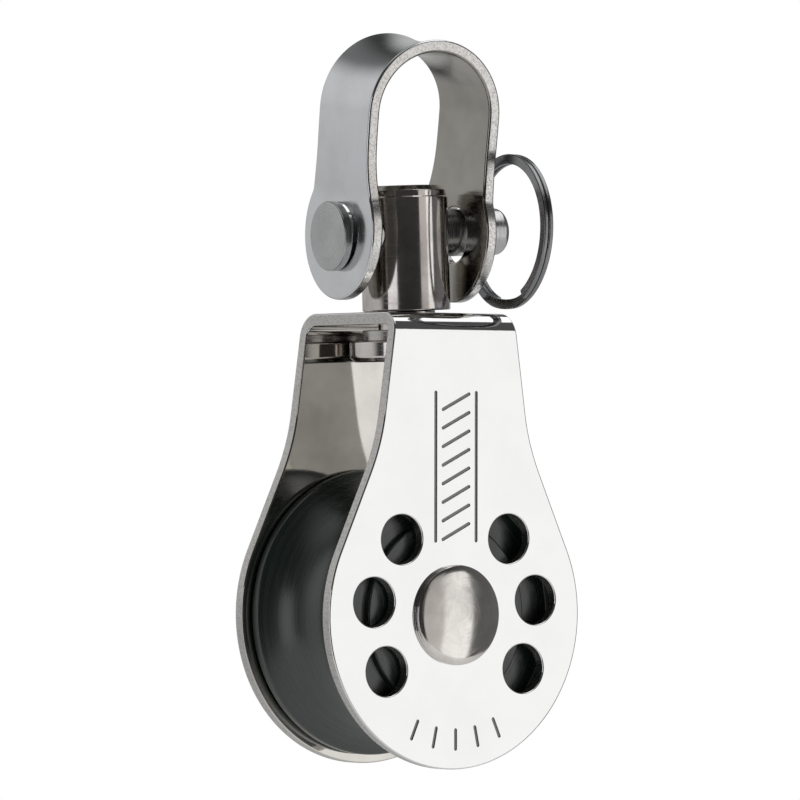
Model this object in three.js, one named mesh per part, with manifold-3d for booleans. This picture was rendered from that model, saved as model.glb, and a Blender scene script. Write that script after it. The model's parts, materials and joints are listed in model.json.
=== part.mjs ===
// Single sheave block with a swivelling strap shackle, in millimetres, +Z up.
// The block is drawn about its sheave axle: X across the cheeks, Y along the axle, Z towards the shackle.
// It is then moved so that the origin is the point on the inside of the shackle's bow that takes the load.
import * as THREE from "three";
import { mergeVertices } from "three/addons/utils/BufferGeometryUtils.js";
import Module from "manifold-3d";

const manifold = await Module();
manifold.setup();

// ---------------------------------------------------------------- driving dimensions
const degrees = Math.PI / 180;

// Sheave: everything above it rises with its radius.
const sheaveRadius = 14.5;
const grooveDepth = 3.6;
const sheaveHubWall = 1.94;
const sheaveWebDepth = 0.7;
const sheaveWallWidth = 1.05;
const sheaveSideGap = 0.3;
const sheaveBoreClearance = 0.5;

// Strap frame: two cheeks and a bridge bent from one sheet, with a throat for the rope over the sheave.
const throatHeight = 15.7;
const lobeMargin = 0.9;
const frameWidth = 16.5;
const sheetThickness = 1.25;
const bendRadius = 2.2;
const bridgeHalfLength = 7.3;
const cheekTaper = 8 * degrees;
const lobeTangent = 24.5 * degrees;
const waistBlend = 3.0;

// Six drain holes round the axle, three on each side.
const drainHoleRadius = 2.46;
const drainHoleCircle = 10.05;
const drainHoleAngles = [41, 82, 123];

// Engraved rope band on the front cheek and ticks below the axle.
const engravingDepth = 0.12;
const engravingWidth = 0.3;
const bandLineSpacing = 5.0;
const bandLow = 7.4;
const bandHigh = 22.2;
const bandStrands = 8;
const tickCircle = 12.4;
const tickLength = 1.9;
const tickAngles = [-24, -12, 0, 12, 24];

// Axle: one rivet through both cheeks, with two half races clamped between them.
const axleRadius = 3.0;
const axleHeadRadius = 5.0;
const axleHeadEdge = 0.8;
const axleHeadDome = 0.35;
const raceLip = 0.9;

// Ball bearing between the races and the sheave: the balls set the size of the races.
const ballRadius = 1.5;
const ballCount = 12;
const ballGap = 0.137;
const ballClearance = 0.06;

// Swivel: post above the bridge, shouldered stud and washer below it.
const postRadius = 4.45;
const postAbovePin = 4.55;
const postChamfer = 0.5;
const postBandHeight = 1.2;
const studRadius = 2.9;
const studSpigotRadius = 2.3;
const studSpigotLength = 3.2;
const studHeadMargin = 1.1;
const studHeadThickness = 2.1;
const washerRadius = 4.5;
const washerThickness = 1.1;
const swivelPlay = 0.3;
const postLean = 2.2 * degrees;
const postShift = -0.15;

// Clevis pin through the post and the shackle's ears.
const pinRadius = 2.38;
const pinHeadRadius = 3.5;
const pinHeadThickness = 0.95;
const pinHeadStandoff = 1.7;
const pinTailStandoff = 4.0;
const pinTailChamfer = 0.4;
const pinHeading = -4.8 * degrees;
const pinLean = 2.6 * degrees;
const pinTurn = 1.5 * degrees;
const crossHoleRadius = 1.15;
const crossHoleStandoff = 0.8;

// Strap shackle.
const strapThickness = 1.25;
const strapWidth = 10.0;
const bowSwell = 0.35;
const bowHeight = 20.0;
const earSideGap = 1.6;
const earRadius = 6.8;
const earNeck = 9.0;
const shackleLean = -0.3 * degrees;
const shackleTip = 7.6 * degrees;
const shackleShift = -0.45;

// Split ring through the pin's cross-hole: two turns of flat wire.
const ringRadius = 7.3;
const ringWireWidth = 1.0;
const ringWireThickness = 0.5;
const ringTurnGap = 0.05;
const ringStepAngle = 30 * degrees;
const ringLean = 4.0 * degrees;
const ringSwing = -1.0 * degrees;
const ringBridgeGap = 0.25;

// Clearances.
const seatGap = 0.02;
const axleClearance = 0.05;
const pinClearance = 0.1;
const earClearance = 0.45;
const studClearance = 0.25;

// ---------------------------------------------------------------- sizes that follow
const frameHalf = frameWidth / 2;
const cheekInside = frameHalf - sheetThickness;
const lobeRadius = sheaveRadius + lobeMargin;
const treadRadius = sheaveRadius - grooveDepth;
const bridgeHeight = sheaveRadius + throatHeight;
const bridgeUnderside = bridgeHeight - sheetThickness;
const ballCircle = (ballRadius + ballGap / 2) / Math.sin(Math.PI / ballCount);
const raceBallSeat = ballCircle - ballRadius - ballClearance;
const raceRadius = raceBallSeat + raceLip;
const sheaveHubRadius = ballCircle + ballRadius + sheaveHubWall;
const studHeadRadius = cheekInside - studHeadMargin;
const pinRise = ringRadius + ringWireWidth / 2 + ringBridgeGap;
const postHeight = pinRise + postAbovePin;
const earHalfWidth = postRadius + earSideGap + strapThickness;
const bowHalfWidth = earHalfWidth + bowSwell;
const pinHeadReach = earHalfWidth + pinHeadStandoff;
const pinTailReach = earHalfWidth + pinTailStandoff;
const crossHoleReach = earHalfWidth + crossHoleStandoff;

// ---------------------------------------------------------------- finishes
const polishedSteel = { color: 0xdcdcda, roughness: 0.08, metalness: 1.0 };
const brushedSteel = { color: 0xb9b6b1, roughness: 0.25, metalness: 1.0 };
const springSteel = { color: 0x7d7f82, roughness: 0.3, metalness: 1.0 };
const blackAcetal = { color: 0x1b211e, roughness: 0.4, metalness: 0.0 };
const whiteAcetal = { color: 0xe9e6dc, roughness: 0.35, metalness: 0.0 };

// ---------------------------------------------------------------- solids and placing
// A closed geometry as a solid that can be joined and cut.
function solidOf(geometry) {
  const bare = new THREE.BufferGeometry();
  const source = geometry.index ? geometry.toNonIndexed() : geometry;
  bare.setAttribute("position", source.getAttribute("position"));
  const merged = mergeVertices(bare, 1e-4);
  const mesh = new manifold.Mesh({
    numProp: 3,
    vertProperties: merged.getAttribute("position").array,
    triVerts: new Uint32Array(merged.index.array),
  });
  return new manifold.Manifold(mesh);
}

// A solid back as a geometry for a mesh.
function geometryOf(solid) {
  const mesh = solid.getMesh();
  const geometry = new THREE.BufferGeometry();
  geometry.setAttribute("position", new THREE.BufferAttribute(mesh.vertProperties, 3));
  geometry.setIndex(new THREE.BufferAttribute(mesh.triVerts, 1));
  return geometry;
}

function joined(pieces) {
  return pieces.reduce((sum, piece) => sum.add(piece));
}

// A turned profile of [radius, height] points about the Z axis, from its low end to its high end.
function turned(points, segments) {
  const profile = points.map(([radius, height]) => new THREE.Vector2(radius, height));
  return new THREE.LatheGeometry(profile, segments).rotateX(Math.PI / 2);
}

// A round bar along Z from one height to another.
function bar(radius, low, high, segments) {
  const geometry = new THREE.CylinderGeometry(radius, radius, high - low, segments);
  return geometry.rotateX(Math.PI / 2).translate(0, 0, (low + high) / 2);
}

// Turns a geometry drawn along Z so that it lies along Y, and one drawn along Z so that it lies along X.
const alongY = (geometry) => geometry.rotateX(-Math.PI / 2);
const alongX = (geometry) => geometry.rotateY(Math.PI / 2);

// Extrudes a shape drawn in (Y, Z) along X, and one drawn in (X, Z) along Y, centred on the origin.
function extrudedAlongX(shape, length, curveSegments) {
  const geometry = new THREE.ExtrudeGeometry(shape, { depth: length, bevelEnabled: false, curveSegments });
  const upright = new THREE.Matrix4().makeBasis(
    new THREE.Vector3(0, 1, 0),
    new THREE.Vector3(0, 0, 1),
    new THREE.Vector3(1, 0, 0),
  );
  return geometry.applyMatrix4(upright).translate(-length / 2, 0, 0);
}

function extrudedAlongY(shape, length, curveSegments) {
  const geometry = new THREE.ExtrudeGeometry(shape, { depth: length, bevelEnabled: false, curveSegments });
  return geometry.rotateX(Math.PI / 2).translate(0, length / 2, 0);
}

// The points of an arc in a profile, from one angle to another.
function arcPoints(centreX, centreY, radius, from, to, steps) {
  return Array.from({ length: steps + 1 }, (_, i) => {
    const angle = from + ((to - from) * i) / steps;
    return [centreX + radius * Math.cos(angle), centreY + radius * Math.sin(angle)];
  });
}

function named(name, geometry, finish) {
  const mesh = new THREE.Mesh(geometry, new THREE.MeshStandardMaterial(finish));
  mesh.name = name;
  return mesh;
}

// ---------------------------------------------------------------- strap frame
// The bent sheet seen from its edge: an upside-down U in (Y, Z).
function bentSheetSection() {
  const low = -lobeRadius - 1;
  const inner = bendRadius - sheetThickness;
  const shape = new THREE.Shape();
  shape.moveTo(frameHalf, low);
  shape.lineTo(frameHalf, bridgeHeight - bendRadius);
  shape.absarc(frameHalf - bendRadius, bridgeHeight - bendRadius, bendRadius, 0, Math.PI / 2, false);
  shape.absarc(bendRadius - frameHalf, bridgeHeight - bendRadius, bendRadius, Math.PI / 2, Math.PI, false);
  shape.lineTo(-frameHalf, low);
  shape.lineTo(-cheekInside, low);
  shape.absarc(inner - cheekInside, bridgeUnderside - inner, inner, Math.PI, Math.PI / 2, true);
  shape.absarc(cheekInside - inner, bridgeUnderside - inner, inner, Math.PI / 2, 0, true);
  shape.lineTo(cheekInside, low);
  shape.closePath();
  return shape;
}

// The cheek's outline in (X, Z): a round lobe, a straight flank, a soft waist and a tapered neck.
function cheekOutline() {
  const touch = new THREE.Vector2(lobeRadius * Math.cos(lobeTangent), lobeRadius * Math.sin(lobeTangent));
  const flankSlope = Math.tan(lobeTangent);
  const neckSlope = Math.tan(cheekTaper);
  const neckAtAxle = bridgeHalfLength + bridgeHeight * neckSlope;
  const waistHeight = (touch.x + touch.y * flankSlope - neckAtAxle) / (flankSlope - neckSlope);
  const waist = new THREE.Vector2(neckAtAxle - waistHeight * neckSlope, waistHeight);
  const below = new THREE.Vector2(waist.x + waistBlend * flankSlope, waistHeight - waistBlend);
  const above = new THREE.Vector2(waist.x - waistBlend * neckSlope, waistHeight + waistBlend);
  const top = bridgeHeight + 1;
  const topHalf = neckAtAxle - top * neckSlope;
  const shape = new THREE.Shape();
  shape.moveTo(-topHalf, top);
  shape.lineTo(-above.x, above.y);
  shape.quadraticCurveTo(-waist.x, waist.y, -below.x, below.y);
  shape.lineTo(-touch.x, touch.y);
  shape.absarc(0, 0, lobeRadius, Math.PI - lobeTangent, 2 * Math.PI + lobeTangent, false);
  shape.lineTo(below.x, below.y);
  shape.quadraticCurveTo(waist.x, waist.y, above.x, above.y);
  shape.lineTo(topHalf, top);
  shape.closePath();
  return shape;
}

// A straight engraved stroke with round ends on the front cheek, between two points in (X, Z).
function engravedStroke(x0, z0, x1, z1) {
  const half = engravingWidth / 2;
  const heading = Math.atan2(z1 - z0, x1 - x0);
  const shape = new THREE.Shape();
  shape.absarc(x1, z1, half, heading - Math.PI / 2, heading + Math.PI / 2, false);
  shape.absarc(x0, z0, half, heading + Math.PI / 2, heading + 1.5 * Math.PI, false);
  shape.closePath();
  return solidOf(extrudedAlongY(shape, 2 * engravingDepth, 3).translate(0, -frameHalf, 0));
}

function engraving() {
  const side = bandLineSpacing / 2;
  const strokes = [-side, side].map((x) => engravedStroke(x, bandLow, x, bandHigh));
  const pitch = (bandHigh - bandLow) / bandStrands;
  const reach = side - 3 * engravingWidth;
  for (let i = 0; i < bandStrands; i++) {
    const z = bandLow + pitch * (i + 0.5);
    strokes.push(engravedStroke(-reach, z - 0.42 * pitch, reach, z + 0.42 * pitch));
  }
  for (const angle of tickAngles) {
    const x = Math.sin(angle * degrees);
    const z = -Math.cos(angle * degrees);
    const near = tickCircle - tickLength / 2;
    const far = tickCircle + tickLength / 2;
    strokes.push(engravedStroke(near * x, near * z, far * x, far * z));
  }
  return joined(strokes);
}

function cheekFrame() {
  const length = 2 * lobeRadius + 2;
  const sheet = solidOf(extrudedAlongX(bentSheetSection(), length, 5));
  const outline = solidOf(extrudedAlongY(cheekOutline(), frameWidth + 2, 18));
  const through = frameHalf + 1;
  const holes = [solidOf(alongY(bar(axleRadius + axleClearance, -through, through, 32)))];
  for (const angle of drainHoleAngles) {
    for (const side of [-1, 1]) {
      const x = side * drainHoleCircle * Math.sin(angle * degrees);
      const z = drainHoleCircle * Math.cos(angle * degrees);
      holes.push(solidOf(alongY(bar(drainHoleRadius, -through, through, 24)).translate(x, 0, z)));
    }
  }
  const studHole = bar(studRadius + studClearance, bridgeUnderside - 1, bridgeHeight + 1, 32);
  holes.push(solidOf(studHole));
  holes.push(engraving());
  return named("cheek_frame", geometryOf(sheet.intersect(outline).subtract(joined(holes))), polishedSteel);
}

// ---------------------------------------------------------------- axle, races, balls and sheave
function axleRivet() {
  const seat = frameHalf + seatGap;
  const edge = seat + axleHeadEdge;
  const crown = edge + axleHeadDome;
  const points = [
    [0, -crown],
    [axleHeadRadius * 0.5, -crown + axleHeadDome * 0.22],
    [axleHeadRadius - 0.3, -edge],
    [axleHeadRadius, -edge + 0.25],
    [axleHeadRadius, -seat],
    [axleRadius, -seat],
    [axleRadius, seat],
    [axleHeadRadius, seat],
    [axleHeadRadius, edge - 0.25],
    [axleHeadRadius - 0.3, edge],
    [axleHeadRadius * 0.5, crown - axleHeadDome * 0.22],
    [0, crown],
  ];
  return named("axle_rivet", alongY(turned(points, 40)), polishedSteel);
}

// Half of the inner race: a flanged sleeve on the axle with a round seat for the balls at the middle.
function innerRace(name, side) {
  const bore = axleRadius + axleClearance;
  const low = seatGap / 2;
  const high = cheekInside - seatGap;
  const seatCurve = ballRadius + ballClearance;
  const shoulder = Math.sqrt(seatCurve ** 2 - (ballCircle - raceRadius) ** 2);
  const sweep = Math.acos((ballCircle - raceRadius) / seatCurve);
  const start = Math.asin(low / seatCurve);
  const seat = arcPoints(ballCircle, 0, seatCurve, Math.PI - start, Math.PI - sweep, 5);
  const rim = [[raceRadius, shoulder + 0.3], [raceRadius, high]];
  const points = [[bore, low], ...seat, ...rim, [bore, high], [bore, low]];
  const geometry = alongY(turned(points, 32));
  if (side < 0) geometry.rotateZ(Math.PI);
  return named(name, geometry, brushedSteel);
}

function bearingBall(index) {
  const angle = ((index + 0.5) / ballCount) * 2 * Math.PI;
  const geometry = new THREE.SphereGeometry(ballRadius, 12, 7);
  const mesh = named("ball_" + String(index + 1).padStart(2, "0"), geometry, whiteAcetal);
  mesh.position.set(ballCircle * Math.sin(angle), 0, ballCircle * Math.cos(angle));
  return mesh;
}

// The sheave's section: bore with a ball groove, raised hub, recessed web, rim and broad rope groove.
function sheave() {
  const half = cheekInside - sheaveSideGap;
  const web = half - sheaveWebDepth;
  const mouth = half - sheaveWallWidth;
  const depth = sheaveRadius - treadRadius;
  const grooveRadius = (mouth ** 2 + depth ** 2) / (2 * depth);
  const grooveSweep = Math.asin(mouth / grooveRadius);
  const grooveCentre = treadRadius + grooveRadius;
  const tread = arcPoints(grooveCentre, 0, grooveRadius, Math.PI + grooveSweep, Math.PI - grooveSweep, 10);
  const seatCurve = ballRadius + ballClearance;
  const bore = raceRadius + sheaveBoreClearance;
  const seatSweep = Math.acos((bore - ballCircle) / seatCurve);
  const seat = arcPoints(ballCircle, 0, seatCurve, seatSweep, -seatSweep, 6);
  const rimFoot = sheaveRadius - 1.6;
  const points = [
    [bore, -half],
    [sheaveHubRadius, -half],
    [sheaveHubRadius + 0.2, -web],
    [rimFoot, -web],
    [rimFoot + 0.2, -half],
    [sheaveRadius - 0.25, -half],
    [sheaveRadius, -half + 0.25],
    ...tread,
    [sheaveRadius, half - 0.25],
    [sheaveRadius - 0.25, half],
    [rimFoot + 0.2, half],
    [rimFoot, web],
    [sheaveHubRadius + 0.2, web],
    [sheaveHubRadius, half],
    [bore, half],
    ...seat,
    [bore, -half],
  ];
  return named("sheave", alongY(turned(points, 48)), blackAcetal);
}

// ---------------------------------------------------------------- swivel
// The swivel's pieces are drawn about the middle of the bridge's top face, upright, and lean as one group.
const postFoot = swivelPlay;
const washerTop = -sheetThickness - swivelPlay;
const studHeadTop = washerTop - washerThickness - seatGap;

function swivelPost() {
  const top = postFoot + postHeight;
  const body = turned(
    [
      [0, postFoot],
      [postRadius - 0.15, postFoot],
      [postRadius, postFoot + 0.15],
      [postRadius, top - postBandHeight],
      [postRadius - 0.12, top - postBandHeight + 0.12],
      [postRadius - 0.12, top - postChamfer],
      [postRadius - 0.12 - postChamfer, top],
      [0, top],
    ],
    40,
  );
  const spigotTop = postFoot + studSpigotLength + 0.2;
  const spigotHole = bar(studSpigotRadius + axleClearance, postFoot - 1, spigotTop, 24);
  const pinHole = alongX(bar(pinRadius + pinClearance, -2 * postRadius, 2 * postRadius, 32));
  pinHole.rotateZ(pinHeading).translate(0, 0, pinRise);
  const solid = solidOf(body).subtract(solidOf(spigotHole)).subtract(solidOf(pinHole));
  return named("swivel_post", geometryOf(solid), brushedSteel);
}

// The stud's head hangs under the washer, its shank turns in the bridge and its spigot is fixed in the post.
function swivelStud() {
  const low = studHeadTop - studHeadThickness;
  const shoulder = postFoot - seatGap;
  const points = [
    [0, low],
    [studHeadRadius - 0.8, low],
    [studHeadRadius - 0.25, low + 0.25],
    [studHeadRadius, low + 0.8],
    [studHeadRadius, studHeadTop - 0.2],
    [studHeadRadius - 0.2, studHeadTop],
    [studRadius, studHeadTop],
    [studRadius, shoulder],
    [studSpigotRadius, shoulder],
    [studSpigotRadius, postFoot + studSpigotLength],
    [0, postFoot + studSpigotLength],
  ];
  return named("swivel_stud", turned(points, 36), brushedSteel);
}

function thrustWasher() {
  const bore = studRadius + axleClearance;
  const low = washerTop - washerThickness;
  const points = [
    [bore, low],
    [washerRadius, low],
    [washerRadius, washerTop],
    [bore, washerTop],
    [bore, low],
  ];
  return named("thrust_washer", turned(points, 32), brushedSteel);
}

// ---------------------------------------------------------------- clevis pin and split ring
// The pin is drawn along X about the middle of the post, head towards -X.
function clevisPin() {
  const headInside = pinHeadThickness - pinHeadReach;
  const points = [
    [0, -pinHeadReach],
    [pinHeadRadius - 0.25, -pinHeadReach],
    [pinHeadRadius, 0.25 - pinHeadReach],
    [pinHeadRadius, headInside],
    [pinRadius, headInside],
    [pinRadius, pinTailReach - pinTailChamfer],
    [pinRadius - pinTailChamfer, pinTailReach],
    [0, pinTailReach],
  ];
  const crossHole = bar(crossHoleRadius, -pinRadius - 1, pinRadius + 1, 16).translate(crossHoleReach, 0, 0);
  const solid = solidOf(alongX(turned(points, 32))).subtract(solidOf(crossHole));
  return named("clevis_pin", geometryOf(solid), brushedSteel);
}

// The middle of the ring's wire: two turns about X that step sideways once and so lie side by side.
class RingCurve extends THREE.Curve {
  getPoint(t, target = new THREE.Vector3()) {
    const turns = 4 * Math.PI - 1.5 * ringStepAngle;
    const angle = t * turns;
    const stepEnd = 2 * Math.PI - ringStepAngle / 2;
    const ease = THREE.MathUtils.smoothstep(angle, stepEnd - ringStepAngle, stepEnd);
    const side = (ease - 0.5) * (ringWireThickness + ringTurnGap);
    const start = -Math.PI / 2 - ringStepAngle;
    return target.set(side, ringRadius * Math.cos(start - angle), ringRadius * Math.sin(start - angle));
  }
}

function splitRing() {
  const wide = ringWireWidth / 2;
  const thin = ringWireThickness / 2;
  const shape = new THREE.Shape();
  shape.moveTo(-thin, -wide);
  shape.lineTo(thin, -wide);
  shape.lineTo(thin, wide);
  shape.lineTo(-thin, wide);
  shape.closePath();
  const sweep = { steps: 80, bevelEnabled: false, extrudePath: new RingCurve() };
  const geometry = new THREE.ExtrudeGeometry(shape, sweep);
  return named("split_ring", geometry, springSteel);
}

// ---------------------------------------------------------------- shackle
// The strap is drawn about the pin's centre: its legs stand at +X and -X, its width runs along Y.
function shackle() {
  const inner = bowHalfWidth - strapThickness;
  const earInner = earHalfWidth - strapThickness;
  const bowCentre = bowHeight - bowHalfWidth;
  const low = -earRadius - 1;
  const knee = earRadius;
  const section = new THREE.Shape();
  section.moveTo(earHalfWidth, low);
  section.lineTo(earHalfWidth, knee * 0.6);
  section.quadraticCurveTo(bowHalfWidth, knee, bowHalfWidth, bowCentre);
  section.absarc(0, bowCentre, bowHalfWidth, 0, Math.PI, false);
  section.quadraticCurveTo(-bowHalfWidth, knee, -earHalfWidth, knee * 0.6);
  section.lineTo(-earHalfWidth, low);
  section.lineTo(-earInner, low);
  section.lineTo(-earInner, knee * 0.6);
  section.quadraticCurveTo(-inner, knee, -inner, bowCentre);
  section.absarc(0, bowCentre, inner, Math.PI, 0, true);
  section.quadraticCurveTo(inner, knee, earInner, knee * 0.6);
  section.lineTo(earInner, low);
  section.closePath();
  const strap = solidOf(extrudedAlongY(section, 2 * earRadius + 2, 12));

  const half = strapWidth / 2;
  const leave = Math.asin(half / earRadius) + 10 * degrees;
  const leaveY = earRadius * Math.sin(leave);
  const leaveZ = earRadius * Math.cos(leave);
  const side = new THREE.Shape();
  side.moveTo(-half, bowHeight + 1);
  side.lineTo(-half, earNeck);
  side.quadraticCurveTo(-half, (earNeck + leaveZ) / 2, -leaveY, leaveZ);
  side.absarc(0, 0, earRadius, Math.PI / 2 + leave, 2.5 * Math.PI - leave, false);
  side.quadraticCurveTo(half, (earNeck + leaveZ) / 2, half, earNeck);
  side.lineTo(half, bowHeight + 1);
  side.closePath();
  const profile = solidOf(extrudedAlongX(side, 2 * bowHalfWidth + 2, 10));
  const pinHoles = solidOf(alongX(bar(pinRadius + earClearance, -bowHalfWidth - 1, bowHalfWidth + 1, 32)));
  return named("shackle", geometryOf(strap.intersect(profile).subtract(pinHoles)), polishedSteel);
}

// ---------------------------------------------------------------- assembly
// Frame, axle and sheave stand upright about the axle.
const block = new THREE.Group();
block.add(cheekFrame(), axleRivet(), sheave());
block.add(innerRace("inner_race_front", -1), innerRace("inner_race_back", 1));
for (let i = 0; i < ballCount; i++) block.add(bearingBall(i));

// The swivel leans in the bridge's hole by its play.
const swivel = new THREE.Group();
swivel.position.set(postShift, 0, bridgeHeight);
swivel.rotation.y = -postLean;
swivel.add(swivelPost(), swivelStud(), thrustWasher());
block.add(swivel);

// The pin's centre moves with the leaning post.
const pinCentre = new THREE.Vector3(0, 0, pinRise).applyEuler(swivel.rotation).add(swivel.position);

const pinGroup = new THREE.Group();
pinGroup.position.copy(pinCentre);
pinGroup.rotation.set(pinTurn, -pinLean, pinHeading, "ZYX");
pinGroup.add(clevisPin());
block.add(pinGroup);

// The ring stands off the pin by its own radius, with its curved wire centred in the cross-hole.
const wireSag = pinRadius ** 2 / (4 * ringRadius);
const ring = splitRing();
ring.position.y = wireSag - ringRadius;
const ringGroup = new THREE.Group();
ringGroup.position.x = crossHoleReach;
ringGroup.rotation.set(0, ringLean, ringSwing, "ZYX");
ringGroup.add(ring);
pinGroup.add(ringGroup);

const shackleGroup = new THREE.Group();
shackleGroup.position.copy(pinCentre);
shackleGroup.rotation.set(shackleTip, -shackleLean, pinHeading, "ZYX");
const shackleMesh = shackle();
shackleMesh.position.x = shackleShift;
shackleGroup.add(shackleMesh);
block.add(shackleGroup);

// The origin is the inside of the bow, where the load hangs.
block.updateMatrixWorld(true);
const loadPoint = new THREE.Vector3(shackleShift, 0, bowHeight - strapThickness);
shackleGroup.localToWorld(loadPoint);
block.position.copy(loadPoint).negate();

const root = new THREE.Group();
root.add(block);
export default root;
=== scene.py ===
"""Single sheave block: the detailed model of its pieces, built round the packed frame.

The block hangs from its shackle. +Z is up, +Y runs along the sheave's axle from the front cheek to
the back one, and +X runs across the cheeks towards the split ring. Everything is in metres.
"""

import json
import math

import bpy
import numpy as np
from bpy.props import FloatProperty, FloatVectorProperty, IntProperty, PointerProperty
from bpy.types import Operator, Panel, PropertyGroup
from mathutils import Matrix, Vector
from mathutils.geometry import delaunay_2d_cdt


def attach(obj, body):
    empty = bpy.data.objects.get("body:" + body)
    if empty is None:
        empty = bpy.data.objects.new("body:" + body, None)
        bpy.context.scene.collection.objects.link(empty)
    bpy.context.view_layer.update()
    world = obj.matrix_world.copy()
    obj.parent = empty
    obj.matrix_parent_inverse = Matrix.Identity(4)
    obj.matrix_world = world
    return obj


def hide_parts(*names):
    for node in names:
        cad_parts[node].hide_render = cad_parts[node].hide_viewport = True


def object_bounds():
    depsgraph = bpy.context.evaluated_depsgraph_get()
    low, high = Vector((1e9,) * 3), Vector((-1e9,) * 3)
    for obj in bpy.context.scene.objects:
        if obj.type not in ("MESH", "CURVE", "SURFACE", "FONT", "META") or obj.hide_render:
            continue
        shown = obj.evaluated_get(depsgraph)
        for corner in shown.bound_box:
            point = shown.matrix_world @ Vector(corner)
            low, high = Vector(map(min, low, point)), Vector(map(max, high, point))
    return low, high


bl_info = {
    "name": "Single Sheave Block",
    "version": (1, 0, 0),
    "blender": (4, 5, 0),
    "location": "View3D > Sidebar > Block",
    "description": "Builds a small single sheave block with a swivelling strap shackle",
    "category": "Object",
}

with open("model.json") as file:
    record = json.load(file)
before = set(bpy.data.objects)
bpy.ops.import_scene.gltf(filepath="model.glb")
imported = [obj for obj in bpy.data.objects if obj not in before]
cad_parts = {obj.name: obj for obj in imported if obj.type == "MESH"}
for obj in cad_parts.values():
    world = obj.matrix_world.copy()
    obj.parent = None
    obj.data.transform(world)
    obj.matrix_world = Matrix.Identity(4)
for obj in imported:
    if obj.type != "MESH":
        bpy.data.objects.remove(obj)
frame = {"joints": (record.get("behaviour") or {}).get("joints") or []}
CAD_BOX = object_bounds()
JOINTS = {joint["name"]: joint for joint in frame["joints"]}
MM = 0.001

# Clearances between pieces that fit together.
SEAT_GAP = 0.02 * MM
RACE_GAP = 0.5 * MM
SOCKET_SPARE = 0.2 * MM
AXLE_CLEARANCE = 0.05 * MM
PIN_CLEARANCE = 0.1 * MM
BALL_CLEARANCE = 0.06 * MM

# Details that no setting changes.
RIM_WIDTH = 1.6 * MM
BAND_RELIEF = 0.12 * MM
SHARP_ANGLE = math.radians(38)
CLOUD_SCALE, SPECK_SCALE = 160.0, 4800.0
FLOW_SCALE, PITTING_SCALE = 220.0, 3800.0

# Colours that no setting changes.
ENGRAVED = (0.3, 0.3, 0.295)
# The next two colours are painted shade: the frame's and the strap's inside faces are darker than their
# outsides for the shade between the cheeks and inside the bow.
FRAME_INSIDE_SHADE = (0.7, 0.68, 0.64)
STRAP_INSIDE_SHADE = (0.4, 0.39, 0.355)
RACE_STEEL = ((0.66, 0.65, 0.62), (0.5, 0.49, 0.47))
WASHER_STEEL = ((0.60, 0.59, 0.57), (0.42, 0.41, 0.4))


# ---------------------------------------------------------------- places
def unit(vectors):
    """The same direction with length one."""
    vectors = np.asarray(vectors, float)
    return vectors / np.linalg.norm(vectors, axis=-1, keepdims=True)


def turned(x=0.0, y=0.0, z=0.0):
    """Rotation about X, then Y, then Z, as a matrix whose rows are the turned X, Y and Z axes."""
    cx, sx, cy, sy, cz, sz = math.cos(x), math.sin(x), math.cos(y), math.sin(y), math.cos(z), math.sin(z)
    about_x = np.array([[1, 0, 0], [0, cx, -sx], [0, sx, cx]])
    about_y = np.array([[cy, 0, sy], [0, 1, 0], [-sy, 0, cy]])
    about_z = np.array([[cz, -sz, 0], [sz, cz, 0], [0, 0, 1]])
    return (about_z @ about_y @ about_x).T


class Place:
    """An origin and three axes in the row frame. A local point p lands on origin + p times the axes."""

    def __init__(self, origin, axes):
        """The rows of axes are the local X, Y and Z directions."""
        self.origin = np.asarray(origin, float)
        self.axes = np.asarray(axes, float)

    def points(self, local):
        """Local points carried to the row frame: origin + local point times the axes."""
        return self.origin + np.asarray(local, float) @ self.axes

    def local(self, points):
        """The way back: (point - origin) times the transposed axes."""
        return (np.asarray(points, float) - self.origin) @ self.axes.T

    def moved(self, x=0.0, y=0.0, z=0.0):
        """The same axes at a local point."""
        return Place(self.points([x, y, z]), self.axes)

    def lathe_axis(self, along):
        """The same place turned so that its Z axis is the axis that a lathe piece turns about."""
        order = {"X": (1, 2, 0), "Y": (2, 0, 1), "Z": (0, 1, 2)}[along]
        return Place(self.origin, self.axes[list(order)])


PIN_CENTRE = np.array(JOINTS["shackle_hinge"]["pos_m"])
PIN_AXIS = unit(JOINTS["shackle_hinge"]["axis"])
CROSS_AXIS = unit(JOINTS["ring_swing"]["axis"])
BLOCK = Place(JOINTS["sheave_spin"]["pos_m"], np.eye(3))
PIN = Place(PIN_CENTRE, [PIN_AXIS, np.cross(CROSS_AXIS, PIN_AXIS), CROSS_AXIS])
CROSS_HOLE = Place(JOINTS["ring_swing"]["pos_m"], PIN.axes)


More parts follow.
